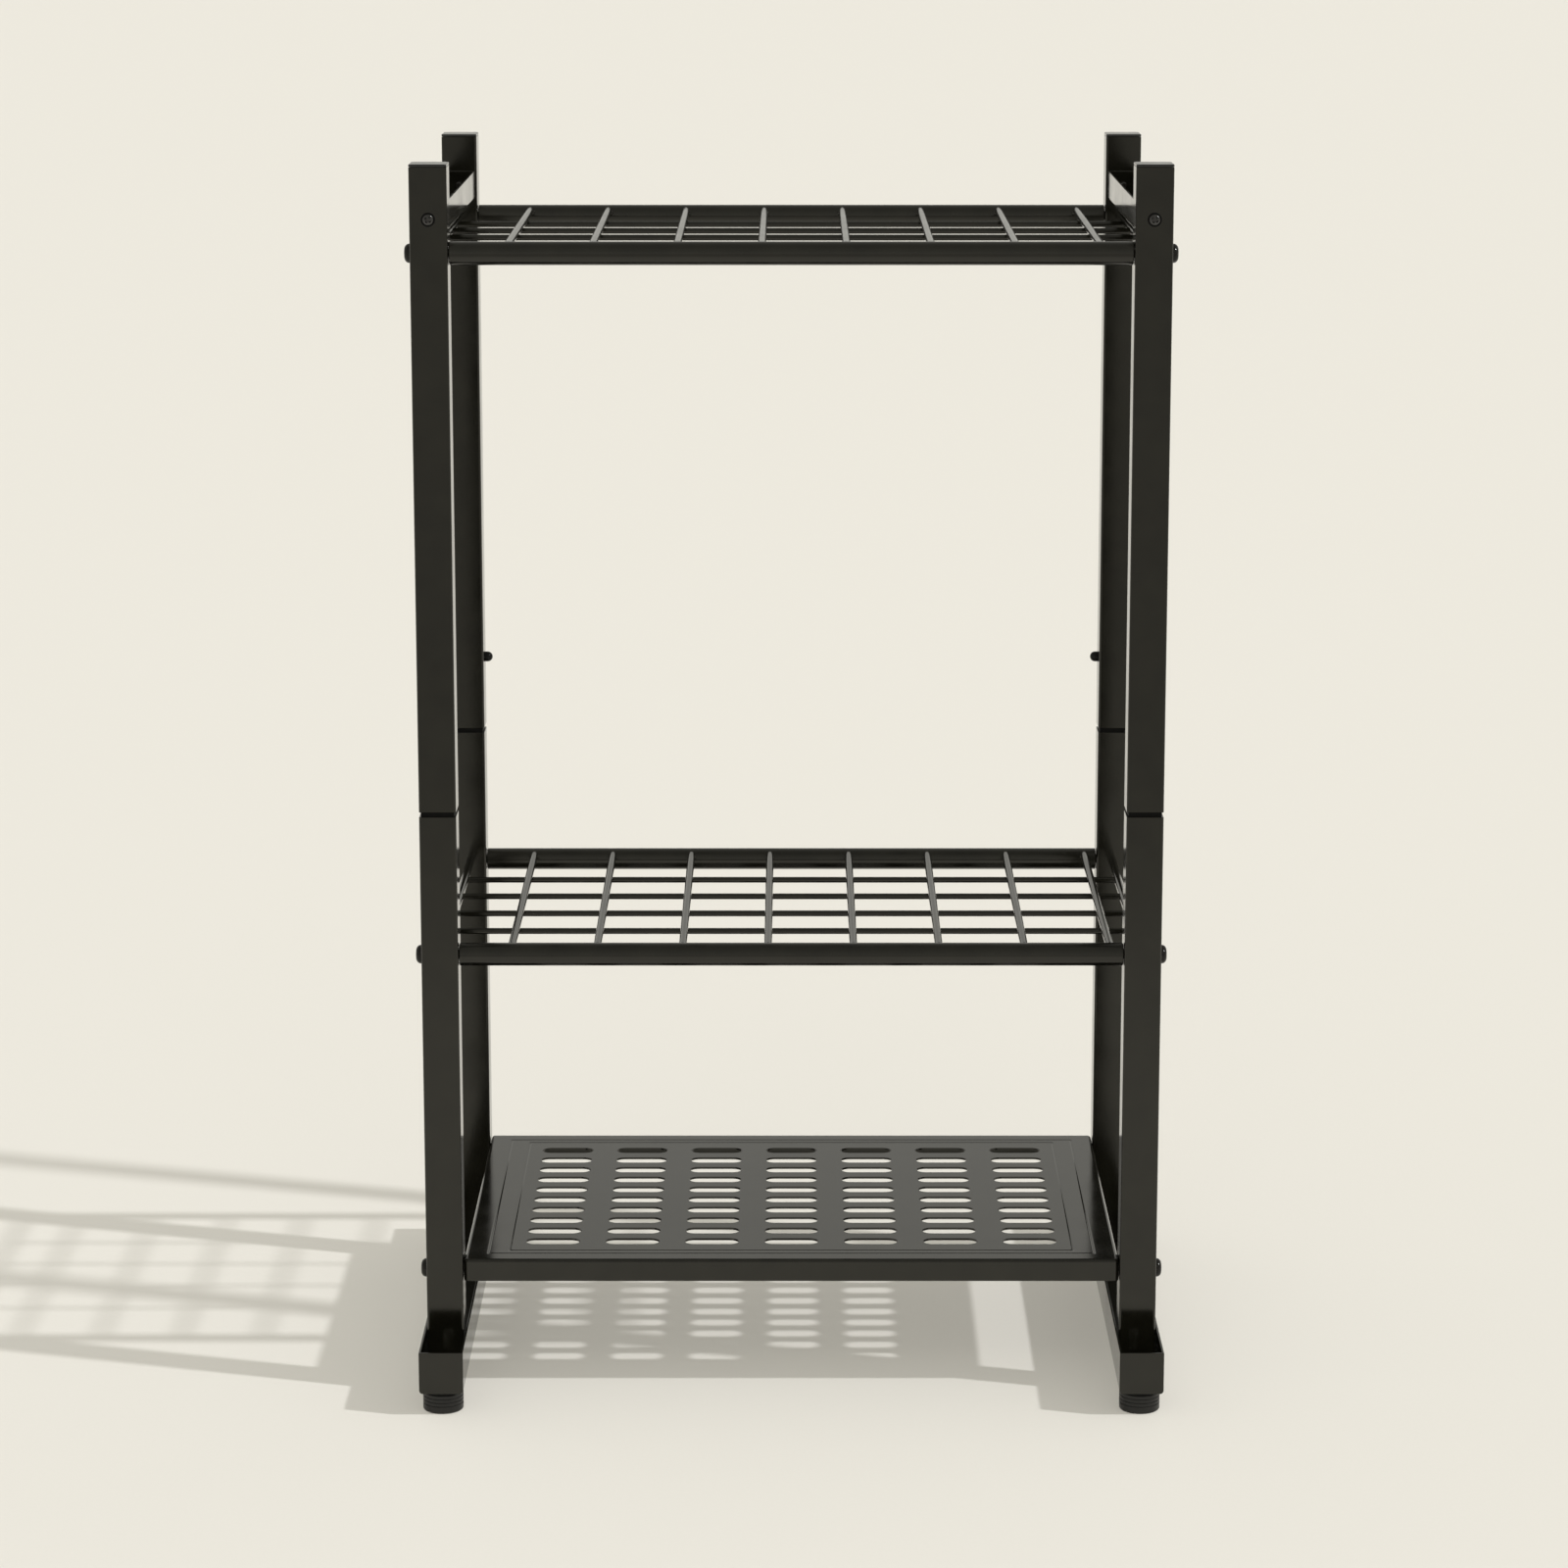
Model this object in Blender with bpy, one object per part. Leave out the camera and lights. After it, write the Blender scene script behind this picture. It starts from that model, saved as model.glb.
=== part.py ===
"""Three-tier shoe rack: two wire shelves and a slotted plate between four square posts.

Metres, +Z up. The front faces -Y. The origin is on the floor, midway between the four feet.
"""

from math import cos, pi, radians, sin

import bmesh
import bpy
from mathutils import Matrix, Vector

# Clearances
GAP = 0.0003            # between faces that touch on the real rack
HOLE_CLEARANCE = 0.0003  # radial, around every bolt, screw and stud
WELD = 0.0004           # how far crossing wires sink into each other

# Overall sizes
RACK_WIDTH = 0.500      # over the outer faces of the posts
RACK_DEPTH = 0.320      # over the front and rear faces of the posts
RACK_HEIGHT = 0.842     # floor to the tops of the posts
JOINT_HEIGHT = 0.408    # floor to the joint line of the posts
TOP_SHELF_DROP = 0.059  # tops of the posts down to the axis of the shelf's tubes
MIDDLE_SHELF_HEIGHT = 0.309  # floor to the axis of the shelf's tubes
PLATE_HEIGHT = 0.095    # floor to the top of the slotted plate

# Posts
POST = 0.025            # side of the square tube
POST_WALL = 0.0012
POST_RADIUS = 0.0015    # outer corner
POST_FOOT_WALL = 0.003  # welded plate that closes the bottom of a lower post

# Connectors between lower and upper posts
LIP_HEIGHT = 0.0026
LIP_INSET = 0.0005      # how far the lip stands back from the faces of the post
SLEEVE_WALL = 0.002
SLEEVE_DOWN = 0.040
SLEEVE_UP = 0.070
SLEEVE_CORNER = 0.0008
SLEEVE_BORE_CORNER = 0.0005

# Snap buttons in the rear posts
BUTTON_RISE = 0.053     # above the joint line
BUTTON_RADIUS = 0.0034
BUTTON_PROUD = 0.006
BUTTON_FLANGE_RADIUS = 0.0048
BUTTON_FLANGE = 0.0012
BUTTON_CROWN = 0.0027   # height of the domed end
SPRING_THICKNESS = 0.0006
SPRING_WIDTH = 0.008
SPRING_DROP = 0.030     # from the button's axis down to the bend
SPRING_BEND_STEPS = 8

# Post caps
CAP_THICKNESS = 0.0016
CAP_SOCKET = 0.014      # depth of the cap's plug in the tube
CAP_WALL = 0.0016
CAP_BEVEL = 0.0004
PLUG_CORNER = 0.0006    # corners of the plug
PLUG_BORE_CORNER = 0.0004

# Base rails and their feet
RAIL_PLAY = 0.001       # between the side of a post and the inside of the rail
RAIL_HEIGHT = 0.0292
RAIL_WALL = 0.0015
RAIL_RADIUS = 0.0025    # bottom corners
RAIL_REACH = 0.047      # past the face of a post, to the front and to the rear
PAD_RADIUS = 0.0138
PAD_SIDES = 20
PAD_HEIGHT = 0.0130
PAD_ROUND = 0.0015      # lower edge
PAD_BEVEL = 0.0006      # upper edge
PAD_RECESS = 0.0005     # hollow under the pad
PAD_RECESS_SHARE = 0.68  # radius of the hollow over the radius of the pad
PAD_RECESS_DRAFT = 0.02  # how much wider it opens at the floor, in the same measure
PAD_BORE = 0.0015       # radius of the small hole under the stud
FOOT_GAP = 0.0034       # between pad and rail with the feet screwed in
FOOT_INSET = 0.019      # from the end of the rail to the stud
STUD_RADIUS = 0.004
STUD_COLLAR_RADIUS = 0.0075
STUD_COLLAR_HEIGHT = 0.001
STUD_LENGTH = 0.024     # above the pad
STUD_SEAT = 0.006       # depth of the stud's socket in the pad
NUT_RADIUS = 0.0065     # nut welded on the floor of the rail
NUT_HEIGHT = 0.006
NUT_SIDES = 6

# Top side rails
TIE_INSET = 0.0015      # from the side of a post to the side of the rail
TIE_HEIGHT = 0.020
TIE_WALL = 0.0012
TIE_RADIUS = 0.002
TIE_DROP = 0.026        # from the top of the post to the top of the rail
TIE_END_WALL = 0.0025

# Wire shelves
TUBE_RADIUS = 0.0078
TUBE_WALL = 0.0012
TUBE_PLUG = 0.012       # threaded plug welded in each end of a tube
TUBE_SIDES = 16
LONG_WIRE_RADIUS = 0.0021
LONG_WIRE_PITCH = 0.0527
LONG_WIRE_BORDER = 0.060  # least distance from the axis of a tube to a long wire
LONG_WIRE_DROP = 0.0004  # below the tube's axis
CROSS_WIRE_RADIUS = 0.0027
CROSS_WIRE_BORDER = 0.008  # least distance from the end of a tube to a cross wire
TOP_CROSS_WIRE_PITCH = 0.056
MIDDLE_CROSS_WIRE_PITCH = 0.058
TOP_GRID_SHIFT = 0.0085  # the cross wires sit right of centre
MIDDLE_GRID_SHIFT = 0.0132
END_BAR_RADIUS = 0.003
WIRE_SIDES = 6

# Slotted plate
PLATE_WALL = 0.0015
PLATE_FLANGE = 0.0155
PLATE_INSET = 0.006     # from the face of a post to the flange
SLOT_LENGTH = 0.0375
SLOT_WIDTH = 0.0132
SLOT_PITCH_X = 0.0552
SLOT_PITCH_Y = 0.0249
SLOT_BORDER_X = 0.035   # least distance from the side of the plate to a slot
SLOT_BORDER_Y = 0.030   # least distance from the front of the plate to a slot
SLOT_END_STEPS = 3

# Fasteners
BOLT_RADIUS = 0.003
BOLT_HEAD_RADIUS = 0.0064
BOLT_HEAD_HEIGHT = 0.0040
BOLT_REACH = 0.009      # past the inner face of the post
BOLT_SOCKET_RADIUS = 0.0020
BOLT_SOCKET_DEPTH = 0.0022
BOLT_SOCKET_LAND = 0.0008  # flat ring around the socket
BOLT_HEAD_RIM = 0.0008  # straight part of the head's side
BOLT_TIP = 0.0006       # chamfer at the end of a thread
SCREW_RADIUS = 0.0024
SCREW_HEAD_RADIUS = 0.0046
SCREW_HEAD_HEIGHT = 0.0022
SCREW_HEAD_RIM = 0.0004
SCREW_REACH = 0.009     # past the inner face of the post
CROSS_SLOT = 0.0011
CROSS_SLOT_LENGTH = 0.0050
CROSS_SLOT_DEPTH = 0.0012
BASE_BOLT_HEAD_HEIGHT = 0.0035
BASE_BOLT_HEAD_CHAMFER = (0.002, 0.0015)  # across and along
BASE_BOLT_REACH = 0.010  # above the bottom of the post
BOLT_SIDES = 10
DOME_TURN = 0.48 * pi   # a dome stops short of its pole, at a small flat crown

# Places worked out from the sizes above
POST_X = (RACK_WIDTH - POST) / 2
POST_Y = (RACK_DEPTH - POST) / 2
POST_BORE = POST - 2 * POST_WALL
RAIL_WIDTH = POST + 2 * (RAIL_PLAY + RAIL_WALL)
TIE_WIDTH = POST - 2 * TIE_INSET
RAIL_BOTTOM = PAD_HEIGHT + FOOT_GAP
POST_BOTTOM = RAIL_BOTTOM + RAIL_WALL + GAP
CAP_BOTTOM = RACK_HEIGHT - CAP_THICKNESS
TIE_TOP = RACK_HEIGHT - TIE_DROP
SCREW_HEIGHT = TIE_TOP - TIE_HEIGHT / 2
TOP_SHELF_HEIGHT = RACK_HEIGHT - TOP_SHELF_DROP
PLATE_BOLT_HEIGHT = PLATE_HEIGHT - PLATE_FLANGE / 2
BUTTON_HEIGHT = JOINT_HEIGHT + BUTTON_RISE
RAIL_LENGTH = RACK_DEPTH + 2 * RAIL_REACH
FOOT_Y = RAIL_LENGTH / 2 - FOOT_INSET
SHELF_CLEAR_WIDTH = RACK_WIDTH - 2 * POST - 2 * GAP

SIDES = {"left": -1, "right": 1}
ENDS = {"front": -1, "rear": 1}
CORNERS = [(f"{end}_{side}", SIDES[side], ENDS[end]) for end in ENDS for side in SIDES]

PAINT = ("black_gloss_paint", (0.012, 0.012, 0.011), 0.18, 0.0)
PLASTIC = ("black_plastic", (0.014, 0.014, 0.014), 0.45, 0.0)
BLACK_STEEL = ("black_steel", (0.02, 0.02, 0.02), 0.35, 1.0)
ZINC = ("zinc_steel", (0.55, 0.55, 0.56), 0.35, 1.0)
SPRING_STEEL = ("spring_steel", (0.45, 0.45, 0.47), 0.3, 1.0)


def clear_scene():
    for thing in list(bpy.data.objects):
        bpy.data.objects.remove(thing)


def material(look):
    name, colour, roughness, metallic = look
    made = bpy.data.materials.get(name)
    if made:
        return made
    made = bpy.data.materials.new(name)
    made.use_nodes = True
    shader = made.node_tree.nodes["Principled BSDF"]
    shader.inputs["Base Color"].default_value = (*colour, 1.0)
    shader.inputs["Roughness"].default_value = roughness
    shader.inputs["Metallic"].default_value = metallic
    made.diffuse_color = (*colour, 1.0)
    return made


def add_object(name, shape, look, place=(0, 0, 0), turn=None):
    """Puts a bmesh in the scene as a named object, with its material and its place."""
    bmesh.ops.recalc_face_normals(shape, faces=shape.faces)
    mesh = bpy.data.meshes.new(name)
    shape.to_mesh(mesh)
    shape.free()
    mesh.shade_smooth()
    mesh.set_sharp_from_angle(angle=radians(35))
    mesh.materials.append(material(look))
    thing = bpy.data.objects.new(name, mesh)
    bpy.context.scene.collection.objects.link(thing)
    thing.location = place
    if turn is not None:
        thing.rotation_euler = turn.to_euler()
    return thing


def modify(thing, cutter, operation):
    """Adds a Boolean with a cutter that shows only as wire."""
    cutter.hide_render = True
    cutter.display_type = "WIRE"
    boolean = thing.modifiers.new(cutter.name, "BOOLEAN")
    boolean.operation = operation
    boolean.object = cutter
    boolean.solver = "EXACT"
    return thing


def towards(direction):
    """The rotation that turns +Z to a direction."""
    return Vector((0, 0, 1)).rotation_difference(Vector(direction)).to_matrix()


def rounded_square(side, radius, steps=2):
    """The corners of a square with round corners, anticlockwise."""
    middle = side / 2 - radius
    points = []
    for quarter in range(4):
        centre = Matrix.Rotation(quarter * pi / 2, 2) @ Vector((middle, middle))
        for step in range(steps + 1):
            angle = (quarter + step / steps) * pi / 2
            points.append((centre.x + radius * cos(angle), centre.y + radius * sin(angle)))
    return points


def ring(shape, points, height):
    return [shape.verts.new((x, y, height)) for x, y in points]


def bridge(shape, lower, upper):
    count = len(lower)
    for index in range(count):
        after = (index + 1) % count
        shape.faces.new((lower[index], lower[after], upper[after], upper[index]))


def stack(rings):
    """A closed solid through a list of outlines with the same number of points."""
    shape = bmesh.new()
    loops = [ring(shape, points, height) for points, height in rings]
    for lower, upper in zip(loops, loops[1:]):
        bridge(shape, lower, upper)
    shape.faces.new(list(reversed(loops[0])))
    shape.faces.new(loops[-1])
    return shape


def hollow_stack(rings):
    """A solid ring through a list of outlines, closed from the last back to the first."""
    shape = bmesh.new()
    loops = [ring(shape, points, height) for points, height in rings]
    for lower, upper in zip(loops, loops[1:] + loops[:1]):
        bridge(shape, lower, upper)
    return shape


def circle(radius, sides):
    return [(radius * cos(2 * pi * i / sides), radius * sin(2 * pi * i / sides))
            for i in range(sides)]


def turned(profile, sides):
    """A solid turned about Z, through (radius, height) points from bottom to top."""
    return stack([(circle(radius, sides), height) for radius, height in profile])


def turned_ring(profile, sides):
    """A turned solid with a bore, through the points of its closed section."""
    return hollow_stack([(circle(radius, sides), height) for radius, height in profile])


def dome(radius, height, start, steps=3):
    """The points of a domed end, from its rim at a height up to a small flat crown."""
    turns = [step / steps * DOME_TURN for step in range(steps + 1)]
    return [(radius * cos(turn), start + height * sin(turn)) for turn in turns]


def box(low, high):
    shape = bmesh.new()
    bmesh.ops.create_cube(shape, size=1.0)
    for vertex in shape.verts:
        for axis in range(3):
            vertex.co[axis] = (low[axis], high[axis])[vertex.co[axis] > 0]
    return shape


def joined(shapes):
    """One bmesh that holds the bodies of several."""
    whole = bmesh.new()
    mesh = bpy.data.meshes.new("joined")
    for shape in shapes:
        shape.to_mesh(mesh)
        shape.free()
        whole.from_mesh(mesh)
    bpy.data.meshes.remove(mesh)
    return whole


def rod(start, end, radius, sides):
    """A round rod between two points, with flats to each side, above and below."""
    start, end = Vector(start), Vector(end)
    shape = turned([(radius, 0.0), (radius, (end - start).length)], sides)
    turn = towards(end - start) @ Matrix.Rotation(pi / sides, 3, "Z")
    bmesh.ops.transform(shape, matrix=Matrix.Translation(start) @ turn.to_4x4(), verts=shape.verts)
    return shape


def hole(start, end, radius):
    """A cutter for the clearance hole of a bolt, screw, stud or button."""
    return rod(start, end, radius + HOLE_CLEARANCE, BOLT_SIDES)


def fit_count(room, pitch):
    """How many places a pitch apart fit in a room."""
    return int(room / pitch) + 1


def spread(count, pitch):
    """Places a pitch apart, centred on zero."""
    return [(index - (count - 1) / 2) * pitch for index in range(count)]


def square_tube(bottom, top, foot_wall):
    """A post, open at the top. A lower post has a plate with a threaded hole at its foot."""
    outer = rounded_square(POST, POST_RADIUS)
    inner = rounded_square(POST_BORE, POST_RADIUS - POST_WALL)
    if not foot_wall:
        return hollow_stack([(outer, bottom), (outer, top), (inner, top), (inner, bottom)])
    floor = bottom + foot_wall
    shape = bmesh.new()
    loops = [ring(shape, points, height) for points, height in
             [(outer, bottom), (outer, top), (inner, top), (inner, floor)]]
    for lower, upper in zip(loops, loops[1:]):
        bridge(shape, lower, upper)
    shape.faces.new(list(reversed(loops[0])))
    shape.faces.new(loops[-1])
    return shape


def post_holes(heights):
    """Cutters for the shelf bolts of a post, through both of its side walls."""
    return [hole((-POST, 0, height), (POST, 0, height), BOLT_RADIUS) for height in heights]


def make_posts():
    for name, side, end in CORNERS:
        place = (side * POST_X, end * POST_Y, 0)
        lower = add_object(f"lower_post_{name}",
                           square_tube(POST_BOTTOM, JOINT_HEIGHT - LIP_HEIGHT / 2 - GAP,
                                       POST_FOOT_WALL), PAINT, place)
        rods = post_holes([PLATE_BOLT_HEIGHT, MIDDLE_SHELF_HEIGHT])
        rods.append(hole((0, 0, POST_BOTTOM - POST), (0, 0, POST_BOTTOM + POST), BOLT_RADIUS))
        modify(lower, add_object(f"lower_holes_{name}", joined(rods), PAINT, place), "DIFFERENCE")

        upper = add_object(f"upper_post_{name}",
                           square_tube(JOINT_HEIGHT + LIP_HEIGHT / 2 + GAP, CAP_BOTTOM - GAP, 0),
                           PAINT, place)
        rods = post_holes([TOP_SHELF_HEIGHT])
        rods.append(hole((0, -POST, SCREW_HEIGHT), (0, POST, SCREW_HEIGHT), SCREW_RADIUS))
        if end == ENDS["rear"]:
            rods.append(hole((0, 0, BUTTON_HEIGHT), (-side * POST, 0, BUTTON_HEIGHT),
                             BUTTON_RADIUS))
        modify(upper, add_object(f"upper_holes_{name}", joined(rods), PAINT, place), "DIFFERENCE")


def make_connectors():
    """Sleeves inside the posts, each with a lip that shows as the joint line."""
    body = POST_BORE - 2 * GAP
    bore = body - 2 * SLEEVE_WALL
    lip = POST - 2 * LIP_INSET
    low, high = -SLEEVE_DOWN, SLEEVE_UP
    for name, side, end in CORNERS:
        outlines = [(rounded_square(body, SLEEVE_CORNER, 1), low),
                    (rounded_square(body, SLEEVE_CORNER, 1), -LIP_HEIGHT / 2),
                    (rounded_square(lip, POST_RADIUS, 1), -LIP_HEIGHT / 2),
                    (rounded_square(lip, POST_RADIUS, 1), LIP_HEIGHT / 2),
                    (rounded_square(body, SLEEVE_CORNER, 1), LIP_HEIGHT / 2),
                    (rounded_square(body, SLEEVE_CORNER, 1), high),
                    (rounded_square(bore, SLEEVE_BORE_CORNER, 1), high),
                    (rounded_square(bore, SLEEVE_BORE_CORNER, 1), low)]
        place = (side * POST_X, end * POST_Y, JOINT_HEIGHT)
        sleeve = add_object(f"post_connector_{name}", hollow_stack(outlines), PLASTIC, place)
        if end == ENDS["rear"]:
            way = hole((0, 0, BUTTON_RISE), (-side * POST, 0, BUTTON_RISE), BUTTON_RADIUS)
            modify(sleeve, add_object(f"button_hole_{name}", way, PLASTIC, place), "DIFFERENCE")


def make_caps():
    body = POST_BORE - 2 * GAP
    bore = body - 2 * CAP_WALL
    for name, side, end in CORNERS:
        shape = stack([(rounded_square(bore, PLUG_BORE_CORNER, 1), 0.0),
                       (rounded_square(bore, PLUG_BORE_CORNER, 1), -CAP_SOCKET),
                       (rounded_square(body, PLUG_CORNER, 1), -CAP_SOCKET),
                       (rounded_square(body, PLUG_CORNER, 1), 0.0),
                       (rounded_square(POST, POST_RADIUS, 1), 0.0),
                       (rounded_square(POST, POST_RADIUS, 1), CAP_THICKNESS - CAP_BEVEL),
                       (rounded_square(POST - 2 * CAP_BEVEL, POST_RADIUS, 1),
                        CAP_THICKNESS)])
        add_object(f"post_cap_{name}", shape, PLASTIC, (side * POST_X, end * POST_Y, CAP_BOTTOM))


def channel(width, height, length, wall, end_wall, radius):
    """A trough along Y, open upward, with end walls and rounded lower corners."""
    half = width / 2
    steps = 3
    outline = [(-half, height)]
    for side, start in ((-1, pi), (1, 1.5 * pi)):
        for step in range(steps + 1):
            angle = start + step / steps * pi / 2
            outline.append((side * (half - radius) + radius * cos(angle),
                            radius + radius * sin(angle)))
    outline.append((half, height))
    shape = bmesh.new()
    front = [shape.verts.new((x, -length / 2, z)) for x, z in outline]
    rear = [shape.verts.new((x, length / 2, z)) for x, z in outline]
    inner_x, inner_y = half - wall, length / 2 - end_wall
    rim = [shape.verts.new((x, y, height)) for x, y in
           ((-inner_x, -inner_y), (inner_x, -inner_y), (inner_x, inner_y), (-inner_x, inner_y))]
    floor = [shape.verts.new((x, y, wall)) for x, y in
             ((-inner_x, -inner_y), (inner_x, -inner_y), (inner_x, inner_y), (-inner_x, inner_y))]
    shape.faces.new(front)
    shape.faces.new(list(reversed(rear)))
    for index in range(len(outline) - 1):
        shape.faces.new((front[index], rear[index], rear[index + 1], front[index + 1]))
    bridge(shape, rim, floor)
    shape.faces.new(floor)
    top = [front[0], front[-1], rear[-1], rear[0]]
    bridge(shape, top, rim)
    return shape


def make_base_rails():
    """A rail under each pair of posts, with nuts for its feet and holes for its bolts."""
    for side_name, side in SIDES.items():
        place = (side * POST_X, 0, RAIL_BOTTOM)
        rail = add_object(f"base_rail_{side_name}",
                          channel(RAIL_WIDTH, RAIL_HEIGHT, RAIL_LENGTH, RAIL_WALL, RAIL_WALL,
                                  RAIL_RADIUS), PAINT, place)
        nuts = []
        holes = []
        for end in ENDS.values():
            spot = end * FOOT_Y
            nuts.append(rod((0, spot, RAIL_WALL / 2), (0, spot, RAIL_WALL + NUT_HEIGHT),
                            NUT_RADIUS, NUT_SIDES))
            holes.append(hole((0, spot, -RAIL_HEIGHT), (0, spot, RAIL_HEIGHT), STUD_RADIUS))
            holes.append(hole((0, end * POST_Y, -RAIL_HEIGHT), (0, end * POST_Y, RAIL_HEIGHT / 2),
                              BOLT_RADIUS))
        modify(rail, add_object(f"foot_nuts_{side_name}", joined(nuts), PAINT, place), "UNION")
        modify(rail, add_object(f"rail_holes_{side_name}", joined(holes), PAINT, place),
               "DIFFERENCE")


def make_feet():
    """A pad on a threaded stud at each corner. Each foot's origin is on its stud, on the floor."""
    for name, side, end in CORNERS:
        place = (side * POST_X, end * FOOT_Y, 0)
        outer = PAD_RADIUS
        socket = STUD_RADIUS + GAP
        recess = outer * PAD_RECESS_SHARE
        pad = turned_ring([(recess + outer * PAD_RECESS_DRAFT, 0.0), (outer - PAD_ROUND, 0.0),
                           (outer, PAD_ROUND),
                           (outer, PAD_HEIGHT - PAD_BEVEL), (outer - PAD_BEVEL, PAD_HEIGHT),
                           (socket, PAD_HEIGHT), (socket, PAD_HEIGHT - STUD_SEAT),
                           (PAD_BORE, PAD_HEIGHT - STUD_SEAT), (PAD_BORE, PAD_RECESS),
                           (recess, PAD_RECESS)], PAD_SIDES)
        add_object(f"foot_pad_{name}", pad, PLASTIC, place)
        seat = PAD_HEIGHT - STUD_SEAT + GAP
        collar = PAD_HEIGHT + GAP
        top = PAD_HEIGHT + STUD_LENGTH
        stud = turned([(STUD_RADIUS, seat), (STUD_RADIUS, collar),
                       (STUD_COLLAR_RADIUS, collar),
                       (STUD_COLLAR_RADIUS, collar + STUD_COLLAR_HEIGHT),
                       (STUD_RADIUS, collar + STUD_COLLAR_HEIGHT),
                       (STUD_RADIUS, top - BOLT_TIP), (STUD_RADIUS - BOLT_TIP, top)], BOLT_SIDES)
        add_object(f"foot_stud_{name}", stud, ZINC, place)


def make_top_rails():
    """A short channel between the front and rear post at each side, just under the tops."""
    length = RACK_DEPTH - 2 * POST - 2 * GAP
    for side_name, side in SIDES.items():
        place = (side * POST_X, 0, TIE_TOP - TIE_HEIGHT)
        rail = add_object(f"top_rail_{side_name}",
                          channel(TIE_WIDTH, TIE_HEIGHT, length, TIE_WALL, TIE_END_WALL,
                                  TIE_RADIUS), PAINT, place)
        holes = hole((0, -length, TIE_HEIGHT / 2), (0, length, TIE_HEIGHT / 2), SCREW_RADIUS)
        modify(rail, add_object(f"screw_holes_{side_name}", holes, PAINT, place), "DIFFERENCE")


def make_shelf_tube(name, y, height):
    """A round tube with a threaded plug welded in each end, from post to post."""
    half = SHELF_CLEAR_WIDTH / 2
    bore = TUBE_RADIUS - TUBE_WALL
    thread = BOLT_RADIUS + HOLE_CLEARANCE
    section = [(TUBE_RADIUS, -half), (TUBE_RADIUS, half), (thread, half),
               (thread, half - TUBE_PLUG), (bore, half - TUBE_PLUG),
               (bore, TUBE_PLUG - half), (thread, TUBE_PLUG - half), (thread, -half)]
    add_object(name, turned_ring(section, TUBE_SIDES), PAINT, (0, y, height), towards((1, 0, 0)))


def make_grid(name, height, shift, cross_pitch):
    """The welded wires of a shelf: cross wires over long wires, with a bar at each end."""
    place = (0, 0, height)
    reach = POST_Y - TUBE_RADIUS - GAP
    long_height = -LONG_WIRE_DROP
    cross_height = long_height + LONG_WIRE_RADIUS + CROSS_WIRE_RADIUS - WELD
    end_reach = POST_Y - POST / 2 - GAP
    grid = None
    long_count = fit_count(2 * (POST_Y - LONG_WIRE_BORDER), LONG_WIRE_PITCH)
    for index, y in enumerate(spread(long_count, LONG_WIRE_PITCH)):
        wire = rod((-POST_X, y, long_height), (POST_X, y, long_height), LONG_WIRE_RADIUS,
                   WIRE_SIDES)
        if grid is None:
            grid = add_object(name, wire, PAINT, place)
        else:
            modify(grid, add_object(f"{name}_long_{index}", wire, PAINT, place), "UNION")
    bars = [rod((side * POST_X, -end_reach, long_height), (side * POST_X, end_reach, long_height),
                END_BAR_RADIUS, WIRE_SIDES) for side in SIDES.values()]
    modify(grid, add_object(f"{name}_bars", joined(bars), PAINT, place), "UNION")
    cross_count = fit_count(SHELF_CLEAR_WIDTH - 2 * (shift + CROSS_WIRE_BORDER), cross_pitch)
    wires = [rod((x + shift, -reach, cross_height), (x + shift, reach, cross_height),
                 CROSS_WIRE_RADIUS, WIRE_SIDES) for x in spread(cross_count, cross_pitch)]
    modify(grid, add_object(f"{name}_cross", joined(wires), PAINT, place), "UNION")


def make_wire_shelves():
    shelves = {"top": (TOP_SHELF_HEIGHT, TOP_GRID_SHIFT, TOP_CROSS_WIRE_PITCH),
               "middle": (MIDDLE_SHELF_HEIGHT, MIDDLE_GRID_SHIFT, MIDDLE_CROSS_WIRE_PITCH)}
    for shelf, (height, shift, pitch) in shelves.items():
        for end_name, end in ENDS.items():
            make_shelf_tube(f"{shelf}_shelf_tube_{end_name}", end * POST_Y, height)
        make_grid(f"{shelf}_shelf_grid", height, shift, pitch)


def slot_outline(length, width):
    """The outline of a slot with round ends, anticlockwise."""
    radius = width / 2
    middle = length / 2 - radius
    points = []
    for side, start in ((1, -pi / 2), (-1, pi / 2)):
        for step in range(SLOT_END_STEPS + 1):
            angle = start + step / SLOT_END_STEPS * pi
            points.append((side * middle + radius * cos(angle), radius * sin(angle)))
    return points


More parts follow.
